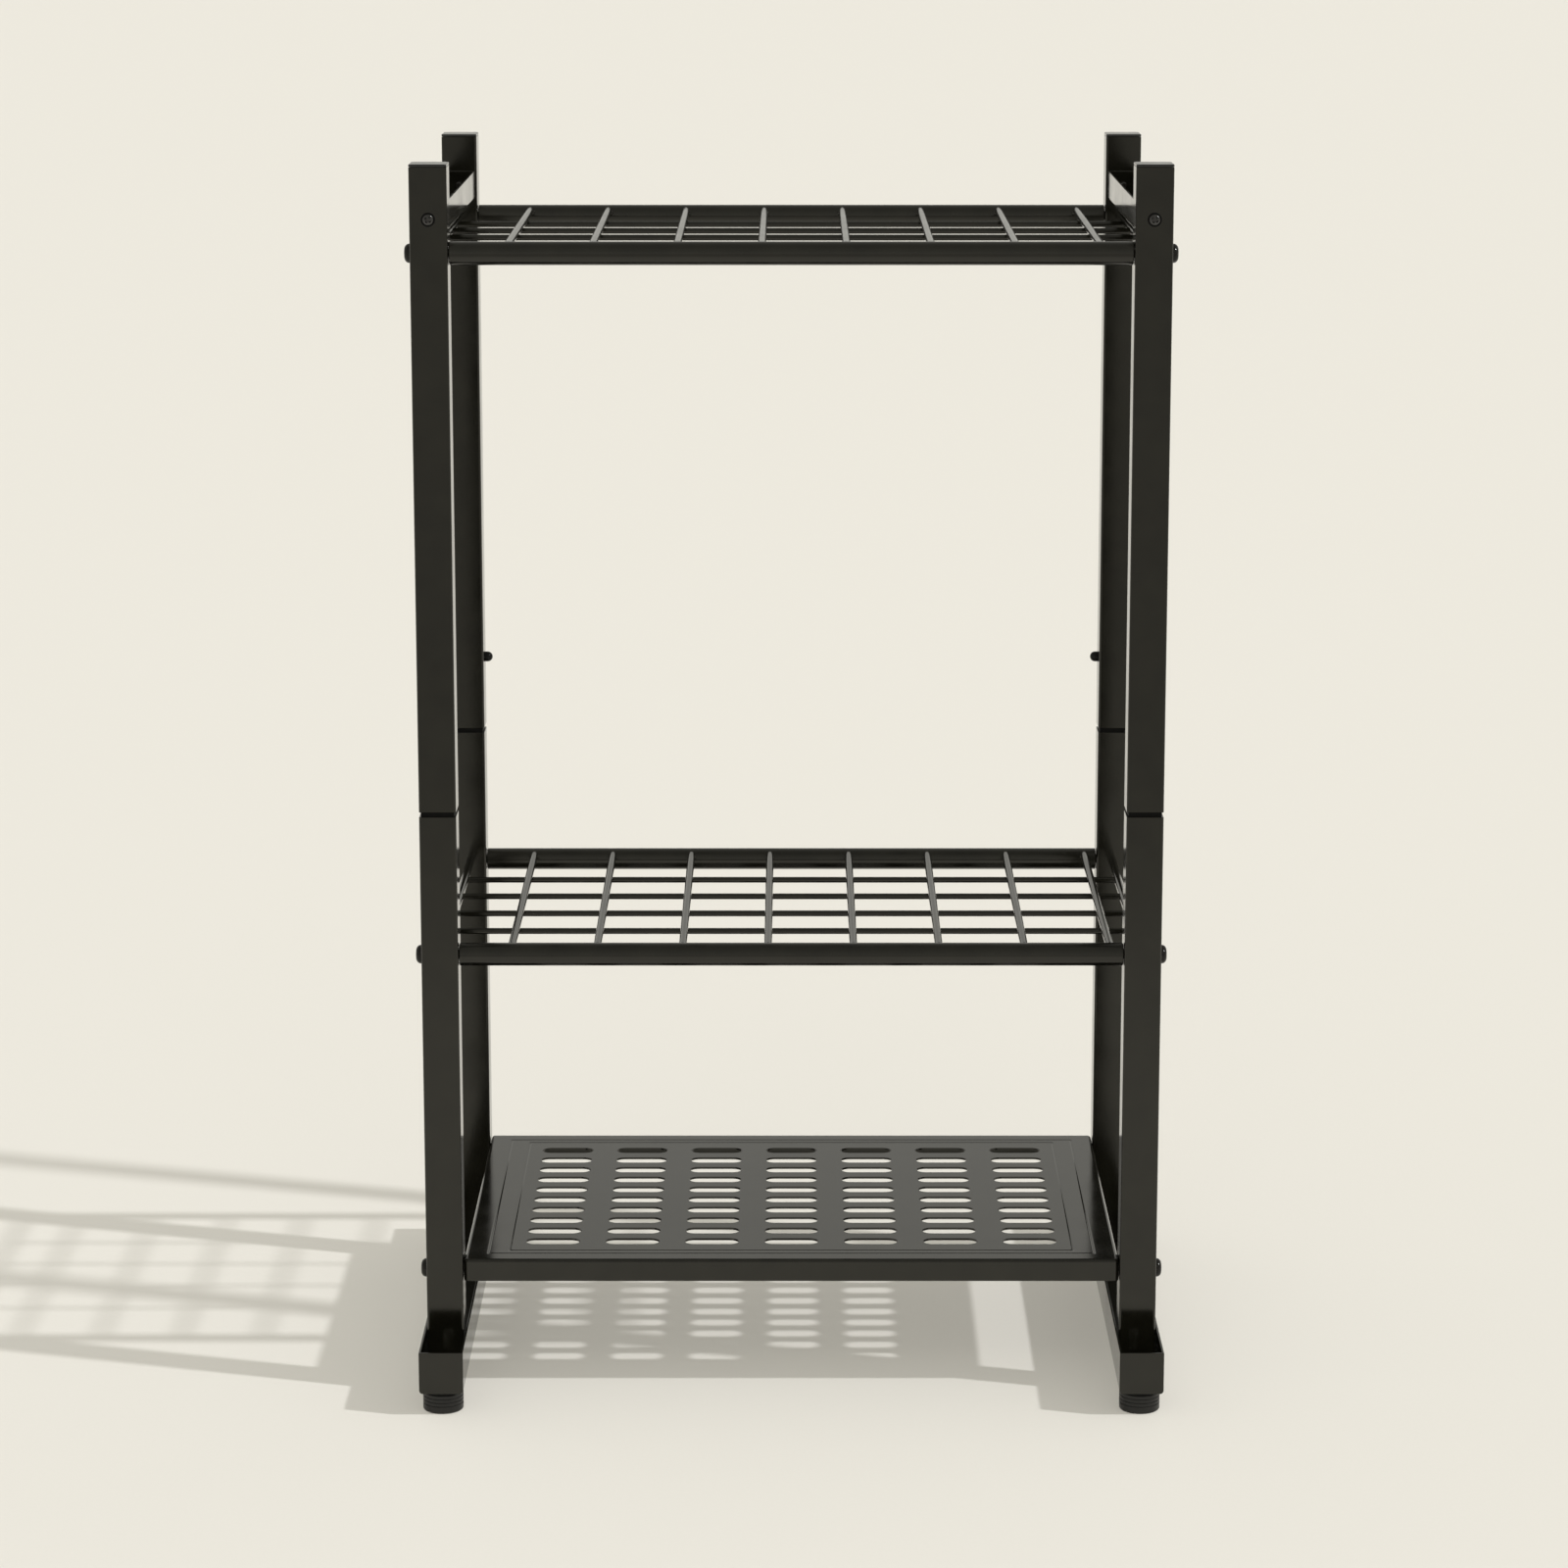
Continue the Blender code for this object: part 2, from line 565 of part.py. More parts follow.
def make_plate():
    """A folded sheet with flanges down all round, slots in rows, and bolt holes at its ends."""
    width = SHELF_CLEAR_WIDTH
    depth = RACK_DEPTH - 2 * PLATE_INSET
    outer = [(width / 2, depth / 2), (-width / 2, depth / 2),
             (-width / 2, -depth / 2), (width / 2, -depth / 2)]
    inner = [(x - PLATE_WALL * (1 if x > 0 else -1), y - PLATE_WALL * (1 if y > 0 else -1))
             for x, y in outer]
    shape = stack([(inner, -PLATE_WALL), (inner, -PLATE_FLANGE), (outer, -PLATE_FLANGE),
                   (outer, 0.0)])
    place = (0, 0, PLATE_HEIGHT)
    plate = add_object("bottom_shelf_plate", shape, PAINT, place)

    columns = fit_count(width - SLOT_LENGTH - 2 * SLOT_BORDER_X, SLOT_PITCH_X)
    rows = fit_count(depth - SLOT_WIDTH - 2 * SLOT_BORDER_Y, SLOT_PITCH_Y)
    slots = []
    for x in spread(columns, SLOT_PITCH_X):
        for y in spread(rows, SLOT_PITCH_Y):
            points = [(x + u, y + v) for u, v in slot_outline(SLOT_LENGTH, SLOT_WIDTH)]
            slots.append(stack([(points, -PLATE_FLANGE / 2), (points, PLATE_FLANGE)]))
    modify(plate, add_object("slot_cutter", joined(slots), PAINT, place), "DIFFERENCE")

    drop = PLATE_BOLT_HEIGHT - PLATE_HEIGHT
    holes = [hole((side * (width / 2 - POST), end * POST_Y, drop),
                  (side * (width / 2 + POST), end * POST_Y, drop), BOLT_RADIUS)
             for side in SIDES.values() for end in ENDS.values()]
    modify(plate, add_object("plate_bolt_holes", joined(holes), PAINT, place), "DIFFERENCE")


def shelf_bolt():
    """A domed bolt along +Z with a hexagon socket. Its origin is under the head."""
    reach = POST + BOLT_REACH
    profile = [(BOLT_RADIUS - BOLT_TIP, reach), (BOLT_RADIUS, reach - BOLT_TIP),
               (BOLT_RADIUS, -GAP), (BOLT_HEAD_RADIUS, -GAP)]
    profile += [(radius, -height) for radius, height in
                dome(BOLT_HEAD_RADIUS, BOLT_HEAD_HEIGHT - BOLT_HEAD_RIM, BOLT_HEAD_RIM + GAP)]
    socket = [(radius, -height) for radius, height in
              [(BOLT_SOCKET_RADIUS, BOLT_HEAD_HEIGHT + GAP),
               (BOLT_SOCKET_RADIUS, BOLT_HEAD_HEIGHT + GAP - BOLT_SOCKET_DEPTH)]]
    profile[-1] = (BOLT_SOCKET_RADIUS + BOLT_SOCKET_LAND, -(BOLT_HEAD_HEIGHT + GAP))
    return turned(profile + socket, BOLT_SIDES)


def make_shelf_bolts():
    levels = {"top": TOP_SHELF_HEIGHT, "middle": MIDDLE_SHELF_HEIGHT, "bottom": PLATE_BOLT_HEIGHT}
    for shelf, height in levels.items():
        for name, side, end in CORNERS:
            place = (side * RACK_WIDTH / 2, end * POST_Y, height)
            add_object(f"{shelf}_shelf_bolt_{name}", shelf_bolt(), BLACK_STEEL, place,
                       towards((-side, 0, 0)))


def make_rail_screws():
    """Cross-recess screws through the posts into the ends of the top side rails."""
    reach = POST + SCREW_REACH
    for name, side, end in CORNERS:
        place = (side * POST_X, end * RACK_DEPTH / 2, SCREW_HEIGHT)
        profile = [(SCREW_RADIUS - BOLT_TIP, reach), (SCREW_RADIUS, reach - BOLT_TIP),
                   (SCREW_RADIUS, -GAP), (SCREW_HEAD_RADIUS, -GAP)]
        profile += [(radius, -height) for radius, height in
                    dome(SCREW_HEAD_RADIUS, SCREW_HEAD_HEIGHT - SCREW_HEAD_RIM,
                         SCREW_HEAD_RIM + GAP)]
        turn = towards((0, -end, 0))
        screw = add_object(f"rail_screw_{name}", turned(profile, BOLT_SIDES), BLACK_STEEL, place,
                           turn)
        depth = CROSS_SLOT_DEPTH - SCREW_HEAD_HEIGHT - GAP
        long_half, short_half = CROSS_SLOT_LENGTH / 2, CROSS_SLOT / 2
        for index, (x, y) in enumerate([(long_half, short_half), (short_half, long_half)]):
            slot = box((-x, -y, -2 * SCREW_HEAD_HEIGHT), (x, y, depth))
            modify(screw, add_object(f"recess_{index}_{name}", slot, BLACK_STEEL, place, turn),
                   "DIFFERENCE")


def make_base_bolts():
    """Bolts up through the floor of a base rail into the foot of a post."""
    across, along = BASE_BOLT_HEAD_CHAMFER
    reach = BASE_BOLT_REACH + RAIL_WALL + GAP
    low = -GAP - BASE_BOLT_HEAD_HEIGHT
    for name, side, end in CORNERS:
        bolt = turned([(BOLT_HEAD_RADIUS - across, low), (BOLT_HEAD_RADIUS, low + along),
                       (BOLT_HEAD_RADIUS, -GAP), (BOLT_RADIUS, -GAP),
                       (BOLT_RADIUS, reach - BOLT_TIP), (BOLT_RADIUS - BOLT_TIP, reach)],
                      BOLT_SIDES)
        add_object(f"base_bolt_{name}", bolt, BLACK_STEEL,
                   (side * POST_X, end * POST_Y, RAIL_BOTTOM))


def make_snap_buttons():
    """A domed button through each rear post, and the bent spring that pushes it out."""
    sleeve_bore = POST_BORE - 2 * GAP - 2 * SLEEVE_WALL
    flange_face = sleeve_bore / 2 - GAP
    for side_name, side in SIDES.items():
        place = (side * POST_X, POST_Y, BUTTON_HEIGHT)
        tip = POST / 2 + BUTTON_PROUD
        profile = [(BUTTON_FLANGE_RADIUS, flange_face - BUTTON_FLANGE),
                   (BUTTON_FLANGE_RADIUS, flange_face), (BUTTON_RADIUS, flange_face)]
        profile += dome(BUTTON_RADIUS, BUTTON_CROWN, tip - BUTTON_CROWN)
        add_object(f"snap_button_{side_name}", turned(profile, BOLT_SIDES), PLASTIC, place,
                   towards((-side, 0, 0)))

        # The strip runs down from behind the flange, round a bend, and up the far wall.
        near = flange_face - BUTTON_FLANGE - GAP
        far = GAP - sleeve_bore / 2
        radius = (near - far) / 2
        centre = (near + far) / 2
        outer = [(near, BUTTON_FLANGE_RADIUS)]
        inner = [(near - SPRING_THICKNESS, BUTTON_FLANGE_RADIUS)]
        for step in range(SPRING_BEND_STEPS + 1):
            angle = -step / SPRING_BEND_STEPS * pi
            for points, bend in ((outer, radius), (inner, radius - SPRING_THICKNESS)):
                points.append((centre + bend * cos(angle), bend * sin(angle) - SPRING_DROP))
        outer.append((far, BUTTON_FLANGE_RADIUS))
        inner.append((far + SPRING_THICKNESS, BUTTON_FLANGE_RADIUS))
        outline = outer + list(reversed(inner))
        strip = stack([(outline, -SPRING_WIDTH / 2), (outline, SPRING_WIDTH / 2)])
        stand = Matrix(((-side, 0, 0), (0, 0, side), (0, 1, 0)))
        add_object(f"button_spring_{side_name}", strip, SPRING_STEEL, place, stand)


def main():
    clear_scene()
    make_base_rails()
    make_feet()
    make_posts()
    make_connectors()
    make_caps()
    make_top_rails()
    make_wire_shelves()
    make_plate()
    make_shelf_bolts()
    make_rail_screws()
    make_base_bolts()
    make_snap_buttons()


main()
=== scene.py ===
"""Looks of the three-tier shoe rack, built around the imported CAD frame."""

from math import atan2, cos, hypot, pi, radians, sin, tau

import bmesh
import bpy
from mathutils import Matrix, Vector


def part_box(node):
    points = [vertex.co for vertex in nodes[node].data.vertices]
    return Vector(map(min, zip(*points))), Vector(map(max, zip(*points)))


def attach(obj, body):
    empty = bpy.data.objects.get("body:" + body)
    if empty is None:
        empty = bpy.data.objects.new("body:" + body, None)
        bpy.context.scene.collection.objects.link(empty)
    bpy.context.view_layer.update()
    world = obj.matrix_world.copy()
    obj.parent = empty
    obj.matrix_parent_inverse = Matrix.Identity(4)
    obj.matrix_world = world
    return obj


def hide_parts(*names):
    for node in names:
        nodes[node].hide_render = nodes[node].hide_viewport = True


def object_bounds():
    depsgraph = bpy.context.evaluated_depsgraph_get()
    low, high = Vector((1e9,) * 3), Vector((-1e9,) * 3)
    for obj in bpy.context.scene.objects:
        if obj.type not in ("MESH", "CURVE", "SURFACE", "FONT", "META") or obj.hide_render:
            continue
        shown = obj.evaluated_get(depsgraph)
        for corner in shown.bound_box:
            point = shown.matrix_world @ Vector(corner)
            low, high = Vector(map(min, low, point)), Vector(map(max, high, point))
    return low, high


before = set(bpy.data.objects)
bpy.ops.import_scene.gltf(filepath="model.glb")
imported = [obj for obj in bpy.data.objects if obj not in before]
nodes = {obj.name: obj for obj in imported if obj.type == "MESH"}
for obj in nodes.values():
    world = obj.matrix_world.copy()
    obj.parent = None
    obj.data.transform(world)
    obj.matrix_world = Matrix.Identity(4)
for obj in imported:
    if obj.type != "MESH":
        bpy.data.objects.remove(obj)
cad_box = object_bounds()

MM = 0.001
SIDES = {"left": -1, "right": 1}
ENDS = {"front": -1, "rear": 1}
CORNERS = [(f"{end}_{side}", SIDES[side], ENDS[end]) for end in ENDS for side in SIDES]

# Steel
POST_WALL = 1.2 * MM
POST_RADIUS = 1.5 * MM
PLAY = 0.3 * MM            # gap round a plug or sleeve, and under a bolt head
EDGE = 0.25 * MM           # broken edge on cut steel
SHEET = 1.2 * MM
RAIL_SHEET = 1.5 * MM
BEND_RADIUS = 2.5 * MM     # outside of a bend in sheet
TIE_BEND_RADIUS = 2.0 * MM
TIE_END_SHEET = 2.5 * MM   # end plates of the top rails
END_PLATE_EDGE = 0.35 * MM
STUD_HOLE = 4.3 * MM       # radius of the hole for a levelling stud
STUD_HOLE_REACH = 5.0 * MM  # of its cutter, above and below the rail's underside
NUT_ACROSS = 12.0 * MM
NUT_HEIGHT = 5.8 * MM
NUT_BEVEL = 0.3 * MM
WIRE_SIDES = 20
TUBE_SIDES = 56
TUBE_BORE = 3.3 * MM       # radius of the threaded bore in a shelf tube's end
CAP_HEAD = 1.6 * MM
PLUG_CORNER = 0.8 * MM
CAP_EDGE = ((0.1, 0.0), (0.0, 0.15), (0.0, 0.95), (0.12, 1.3), (0.5, 1.52),
            (1.2, 1.6))    # mm in from the side of the head, and up from its seat

# Buttons and joints
BUTTON_RADIUS = 3.7 * MM
BUTTON_HOLE = 4.0 * MM
BUTTON_FLANGE = 1.2 * MM
BUTTON_EDGE = 0.1 * MM
HOLE_SIDES = 40
LIP_INSET = 0.7 * MM       # how far a sleeve's lip sits back from the post's face
SLEEVE_WALL = 2.0 * MM
SLEEVE_CHAMFER = 1.0 * MM
SLEEVE_CORNER = 0.9 * MM
TOUCH = 0.05 * MM          # gap between two faces that meet

# Feet
STUD_RADIUS = 4.0 * MM
THREAD_DEPTH = 0.55 * MM
THREAD_PITCH = 1.25 * MM
STUD_PLAIN = 3.9 * MM      # radius of the plain end in the pad
STUD_CORE = 3.5 * MM
COLLAR_RADIUS = 7.5 * MM
COLLAR_HEIGHT = 1.0 * MM
COLLAR_BEVEL = (0.3 * MM, 0.2 * MM)   # across and along
PAD_EYE = 3.5 * MM         # radius of the hole through the pad
PAD_HOLLOW = 0.5 * MM      # depth of the hollow underneath
PAD_HOLLOW_SHARES = (0.68, 0.70, 0.71)   # its radii over the pad's, going down
PAD_BORE = 4.3 * MM
PAD_BORE_DEPTH = 5.9 * MM
PAD_BORE_EDGE = 0.3 * MM
PAD_FOOT_ROUND = 1.6 * MM
PAD_TOP_ROUND = 0.6 * MM
PAD_GROOVES = (8.0 * MM, 5.4 * MM, 2.8 * MM)   # down from the top
PAD_GROOVE_DEPTH = 0.4 * MM
PAD_GROOVE_SECTION = ((0.0, 0.0), (0.15 * MM, 1.0), (0.75 * MM, 1.0),
                      (0.9 * MM, 0.0))   # up from its lower edge, and share of the depth

# Fasteners
SHANK_TIP = 0.5 * MM       # chamfer at the end of a thread
BOLT_SHANK = 3.0 * MM
BOLT_SOCKET = 4.0 * MM
BOLT_BEVEL = 0.2 * MM
BOLT_RIM = 0.7 * MM        # straight side of a domed head, with its bevel
SOCKET_LAND = 0.9 * MM     # from the socket to where the dome starts
SOCKET_MOUTH = 0.55 * MM   # from the socket to the start of its countersink
SOCKET_SINK = 0.35 * MM    # depth of the countersink
SOCKET_DEPTH = 2.2 * MM
SCREW_SHANK = 2.4 * MM
SCREW_BEVEL = 0.15 * MM
SCREW_RIM = 0.4 * MM
RECESS = ((-1.0, 3.3, 0.85), (1.6, 1.5, 0.5))   # mm under the crown, half long, half wide
RECESS_TURN = pi / 5
WASHER_RIM = 0.9 * MM      # how far the washer shows round its screw, as a dark ring of painted shade
WASHER_HEIGHT = 0.5 * MM
WASHER_BORE = 3.0 * MM
HEX_SHARE = 0.82           # a flanged head's hexagon over its flange
HEX_FLANGE = 0.5 * MM
HEX_FOOT = 0.9 * MM        # where the hexagon starts
HEX_CHAMFER = (0.2 * MM, 0.4 * MM)   # across and along

# Plate
PLATE_SHEET = 1.5 * MM
PLATE_CORNER = 0.4 * MM    # least corner of the sheet in its bend
GROOVE_CORNER = 1.5 * MM   # corner of every outline inside the bend
GROOVE_INSETS = ((16 * MM, 14 * MM), (30 * MM, 21 * MM))  # from the sides, from front and rear
GROOVE_HALF = 0.8 * MM
GROOVE_DEPTH = 0.3 * MM
GROOVE_SECTION = ((1.6, 0.0), (1.0, 0.06), (0.45, 0.75), (0.0, 1.0), (-0.45, 0.75),
                  (-1.0, 0.06), (-1.6, 0.0))     # shares of the half width and of the depth
SLOT_LENGTH = 37.5 * MM
SLOT_WIDTH = 13.2 * MM
SLOT_PITCH = (55.2 * MM, 24.9 * MM)
SLOT_COUNT = (7, 10)
SLOT_ROUND = 0.12 * MM
SLOT_END_STEPS = 12

# Wires
LONG_WIRE_RADIUS = 2.1 * MM
CROSS_WIRE_RADIUS = 2.7 * MM
END_BAR_RADIUS = 3.0 * MM
LONG_WIRE_PITCH = 52.7 * MM
LONG_WIRE_COUNT = 4
CROSS_WIRE_COUNT = 8
CROSS_WIRES = {"top": (56 * MM, 8.5 * MM), "middle": (58 * MM, 13.2 * MM)}
WELD = 0.4 * MM            # how far crossing wires sink into each other
WIRE_SINK = 1.2 * MM       # how far a cross wire runs into a tube
BEAD_HALF = (3.5 * MM, 1.5 * MM, 2.3 * MM)
BEAD_OUT = 1.3 * MM        # from the end of a cross wire
BEAD_DROP = 0.9 * MM       # below the axis of the cross wire

# Camera and light
CAMERA_DISTANCE = 3.2025
CAMERA_HEIGHT = 1.0628
CAMERA_PITCH = 11.76
FOCAL_PIXELS = 4733.0
FRAME_PIXELS = 1600.0
CENTRE_COLUMN = 807.5
SENSOR = 36.0
FAR_CLIP = 200.0
LIGHT_FALL = (-1.16, 0.35, -1.0)   # the way the key light travels
KEY_STRENGTH = 1.74
KEY_ANGLE = 1.9
KEY_TINT = (1.0, 0.998, 0.99)
FILL_FALL = (0.05, 1.0, -0.55)     # a wide light from the front, which casts no shadow
FILL_STRENGTH = 2.78
FILL_ANGLE = 50.0
SKY_TINT = (1.0, 0.982, 0.9)       # the fill has the same tint
SKY_LOW = 0.63             # radiance at the horizon
SKY_HIGH = 0.34            # and overhead
FLOOR_REACH = 60.0
FLOOR_COLOUR = (0.700, 0.6825, 0.650)
FLOOR_SHADE_SPAN = (-0.75, -2.4)  # where the painted shade on the floor starts and ends, darker toward the viewer
FLOOR_SHADE_SHARE = 0.62          # share of the colour that the painted shade leaves there


# ---------------------------------------------------------------- mesh helpers

def piece(name, shape, look, body, replaces=(), angle=32):
    """Turns a bmesh into a shown piece that rides on a CAD body."""
    bmesh.ops.recalc_face_normals(shape, faces=shape.faces)
    mesh = bpy.data.meshes.new(name)
    shape.to_mesh(mesh)
    shape.free()
    mesh.shade_smooth()
    mesh.set_sharp_from_angle(angle=radians(angle))
    mesh.materials.append(look)
    thing = bpy.data.objects.new(name, mesh)
    bpy.context.scene.collection.objects.link(thing)
    even = thing.modifiers.new("flat faces shade flat", "WEIGHTED_NORMAL")
    even.keep_sharp = True
    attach(thing, body)
    if replaces:
        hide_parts(*replaces)
    return thing


def rounded_rectangle(width, depth, radius, steps=5):
    """The corners of a rectangle with round corners, anticlockwise."""
    points = []
    for quarter, (sx, sy) in enumerate(((1, 1), (-1, 1), (-1, -1), (1, -1))):
        centre = (sx * (width / 2 - radius), sy * (depth / 2 - radius))
        for step in range(steps + 1):
            angle = (quarter + step / steps) * pi / 2
            points.append((centre[0] + radius * cos(angle), centre[1] + radius * sin(angle)))
    return points


def circle(radius, sides):
    return [(radius * cos(tau * i / sides), radius * sin(tau * i / sides)) for i in range(sides)]


def ring(shape, points, height):
    return [shape.verts.new((x, y, height)) for x, y in points]


def bridge(shape, lower, upper):
    count = len(lower)
    for index in range(count):
        after = (index + 1) % count
        shape.faces.new((lower[index], lower[after], upper[after], upper[index]))


def stack(rings, closed=False):
    """Walls through outlines of equal length, with both ends capped, or joined if closed."""
    shape = bmesh.new()
    loops = [ring(shape, points, height) for points, height in rings]
    for lower, upper in zip(loops, loops[1:]):
        bridge(shape, lower, upper)
    if closed:
        bridge(shape, loops[-1], loops[0])
    else:
        shape.faces.new(list(reversed(loops[0])))
        shape.faces.new(loops[-1])
    return shape


def turned(profile, sides, closed=False):
    """A profile of radii and heights turned round the Z axis."""
    return stack([(circle(radius, sides), height) for radius, height in profile], closed)


def moved(shape, matrix):
    bmesh.ops.transform(shape, matrix=matrix, verts=shape.verts)
    return shape


def joined(shapes):
    """Several shapes as one. They are used up."""
    whole = bmesh.new()
    mesh = bpy.data.meshes.new("joined")
    for shape in shapes:
        shape.to_mesh(mesh)
        shape.free()
        whole.from_mesh(mesh)
    bpy.data.meshes.remove(mesh)
    return whole


def towards(direction):
    """The rotation that turns +Z to a direction."""
    return Vector((0, 0, 1)).rotation_difference(Vector(direction)).to_matrix().to_4x4()


def rod(start, end, radius, sides, chamfer=0.0):
    """A round bar between two points."""
    start, end = Vector(start), Vector(end)
    length = (end - start).length
    profile = [(radius, 0.0), (radius, length)]
    if chamfer:
        profile = [(radius - chamfer, 0.0), (radius, chamfer),
                   (radius, length - chamfer), (radius - chamfer, length)]
    shape = turned(profile, sides)
    return moved(shape, Matrix.Translation(start) @ towards(end - start))


def boolean(first, second, operation):
    """The two shapes joined or cut, as a new bmesh. Both are used up."""
    objects = []
    for shape in (first, second):
        bmesh.ops.recalc_face_normals(shape, faces=shape.faces)
        mesh = bpy.data.meshes.new("operand")
        shape.to_mesh(mesh)
        shape.free()
        thing = bpy.data.objects.new("operand", mesh)
        bpy.context.scene.collection.objects.link(thing)
        objects.append(thing)
    modifier = objects[0].modifiers.new("cut", "BOOLEAN")
    modifier.operation = operation
    modifier.object = objects[1]
    modifier.solver = "EXACT"
    depsgraph = bpy.context.evaluated_depsgraph_get()
    result = bmesh.new()
    result.from_object(objects[0], depsgraph)
    for thing in objects:
        mesh = thing.data
        bpy.data.objects.remove(thing)
        bpy.data.meshes.remove(mesh)
    return result


def spread(count, pitch):
    """Evenly spaced places about zero."""
    return [(index - (count - 1) / 2) * pitch for index in range(count)]


def middle(node):
    low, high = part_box(node)
    return (low + high) / 2


def size(node):
    low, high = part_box(node)
    return high - low


def face_of(node, axis, way):
    """Where a node's box ends along an axis, on its low or its high side."""
    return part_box(node)[1 if way > 0 else 0][axis]


# ---------------------------------------------------------------- materials

def new_material(name):
    made = bpy.data.materials.new(name)
    made.use_nodes = True
    return made, made.node_tree.nodes, made.node_tree.links, made.node_tree.nodes["Principled BSDF"]


def noise(nodes_, links, scale, detail=2.0, roughness=0.5):
    """A 3D noise in object space, which is the rack's own frame in metres."""
    place = nodes_.new("ShaderNodeTexCoord")
    made = nodes_.new("ShaderNodeTexNoise")
    made.inputs["Scale"].default_value = scale
    made.inputs["Detail"].default_value = detail
    made.inputs["Roughness"].default_value = roughness
    links.new(place.outputs["Object"], made.inputs["Vector"])
    return made.outputs["Fac"]


def spread_range(nodes_, links, value, low, high, start=0.3, end=0.7):
    made = nodes_.new("ShaderNodeMapRange")
    made.inputs["From Min"].default_value = start
    made.inputs["From Max"].default_value = end
    made.inputs["To Min"].default_value = low
    made.inputs["To Max"].default_value = high
    links.new(value, made.inputs["Value"])
    return made.outputs["Result"]


def colour_ramp(nodes_, links, value, first, second, start=0.3, end=0.7):
    made = nodes_.new("ShaderNodeValToRGB")
    made.color_ramp.elements[0].position = start
    made.color_ramp.elements[0].color = (*first, 1)
    made.color_ramp.elements[1].position = end
    made.color_ramp.elements[1].color = (*second, 1)
    links.new(value, made.inputs["Fac"])
    return made.outputs["Color"]


def bump(nodes_, links, height, distance, strength=1.0, under=None):
    made = nodes_.new("ShaderNodeBump")
    made.inputs["Distance"].default_value = distance
    made.inputs["Strength"].default_value = strength
    links.new(height, made.inputs["Height"])
    if under:
        links.new(under, made.inputs["Normal"])
    return made.outputs["Normal"]


def gloss_paint():
    """Smooth black powder coat: a faint orange peel, long soft waves and patches of gloss."""
    made, nodes_, links, shader = new_material("gloss_black_paint")
    colour = colour_ramp(nodes_, links, noise(nodes_, links, 60, 4), (0.0020, 0.0019, 0.0012),
                         (0.0040, 0.0038, 0.0025))
    links.new(colour, shader.inputs["Base Color"])
    shader.inputs["Specular Tint"].default_value = (1.0, 0.985, 0.92, 1.0)
    gloss = spread_range(nodes_, links, noise(nodes_, links, 22, 6, 0.6), 0.09, 0.17)
    links.new(gloss, shader.inputs["Roughness"])
    waves = bump(nodes_, links, noise(nodes_, links, 45, 1), 0.00025, 0.04)
    peel = bump(nodes_, links, noise(nodes_, links, 900, 2), 0.00003, 0.25, waves)
    links.new(peel, shader.inputs["Normal"])
    shader.inputs["IOR"].default_value = 1.5
    return made


def moulded_plastic():
    """Black polypropylene with a fine spark-eroded grain."""
    made, nodes_, links, shader = new_material("moulded_black_plastic")
    colour = colour_ramp(nodes_, links, noise(nodes_, links, 300, 4), (0.0035, 0.0034, 0.0030),
                         (0.0060, 0.0058, 0.0052))
    links.new(colour, shader.inputs["Base Color"])
    gloss = spread_range(nodes_, links, noise(nodes_, links, 120, 4), 0.30, 0.46)
    links.new(gloss, shader.inputs["Roughness"])
    grain = bump(nodes_, links, noise(nodes_, links, 2600, 2), 0.00004, 0.5)
    links.new(grain, shader.inputs["Normal"])
    shader.inputs["Specular IOR Level"].default_value = 0.38
    return made


def dark_fastener(name, shine):
    """Black oxide on steel under oil, a little brown, with fine turning marks."""
    made, nodes_, links, shader = new_material(name)
    colour = colour_ramp(nodes_, links, noise(nodes_, links, 700, 5), (0.0025, 0.0022, 0.0016),
                         (0.0060, 0.0052, 0.0040))
    links.new(colour, shader.inputs["Base Color"])
    gloss = spread_range(nodes_, links, noise(nodes_, links, 1500, 3), 0.14, 0.26)
    links.new(gloss, shader.inputs["Roughness"])
    marks = bump(nodes_, links, noise(nodes_, links, 3000, 2), 0.00003, 0.3)
    links.new(marks, shader.inputs["Normal"])
    shader.inputs["Specular IOR Level"].default_value = shine
    return made


def bright_steel(name, tone, low, high):
    """Zinc plated or bare spring steel."""
    made, nodes_, links, shader = new_material(name)
    dull = tuple(channel * 0.75 for channel in tone)
    colour = colour_ramp(nodes_, links, noise(nodes_, links, 500, 5), dull, tone)
    links.new(colour, shader.inputs["Base Color"])
    links.new(spread_range(nodes_, links, noise(nodes_, links, 900, 3), low, high),
              shader.inputs["Roughness"])
    shader.inputs["Metallic"].default_value = 1.0
    return made


def polished_plastic():
    """The caps are moulded smoother than the feet."""
    made, nodes_, links, shader = new_material("polished_black_plastic")
    colour = colour_ramp(nodes_, links, noise(nodes_, links, 200, 4), (0.0035, 0.0034, 0.0030),
                         (0.0060, 0.0058, 0.0052))
    links.new(colour, shader.inputs["Base Color"])
    gloss = spread_range(nodes_, links, noise(nodes_, links, 90, 5), 0.12, 0.20)
    links.new(gloss, shader.inputs["Roughness"])
    grain = bump(nodes_, links, noise(nodes_, links, 1800, 2), 0.00002, 0.2)
    links.new(grain, shader.inputs["Normal"])
    shader.inputs["IOR"].default_value = 1.49
    return made


def dull_plastic(name, shine, low, high):
    """Unfinished dull black plastic; the buttons have a little more shine than the sleeves."""
    made, nodes_, links, shader = new_material(name)
    colour = colour_ramp(nodes_, links, noise(nodes_, links, 400, 4), (0.0008, 0.0008, 0.0007),
                         (0.0016, 0.0016, 0.0014))
    links.new(colour, shader.inputs["Base Color"])
    gloss = spread_range(nodes_, links, noise(nodes_, links, 500, 3), low, high)
    links.new(gloss, shader.inputs["Roughness"])
    shader.inputs["Specular IOR Level"].default_value = shine
    return made


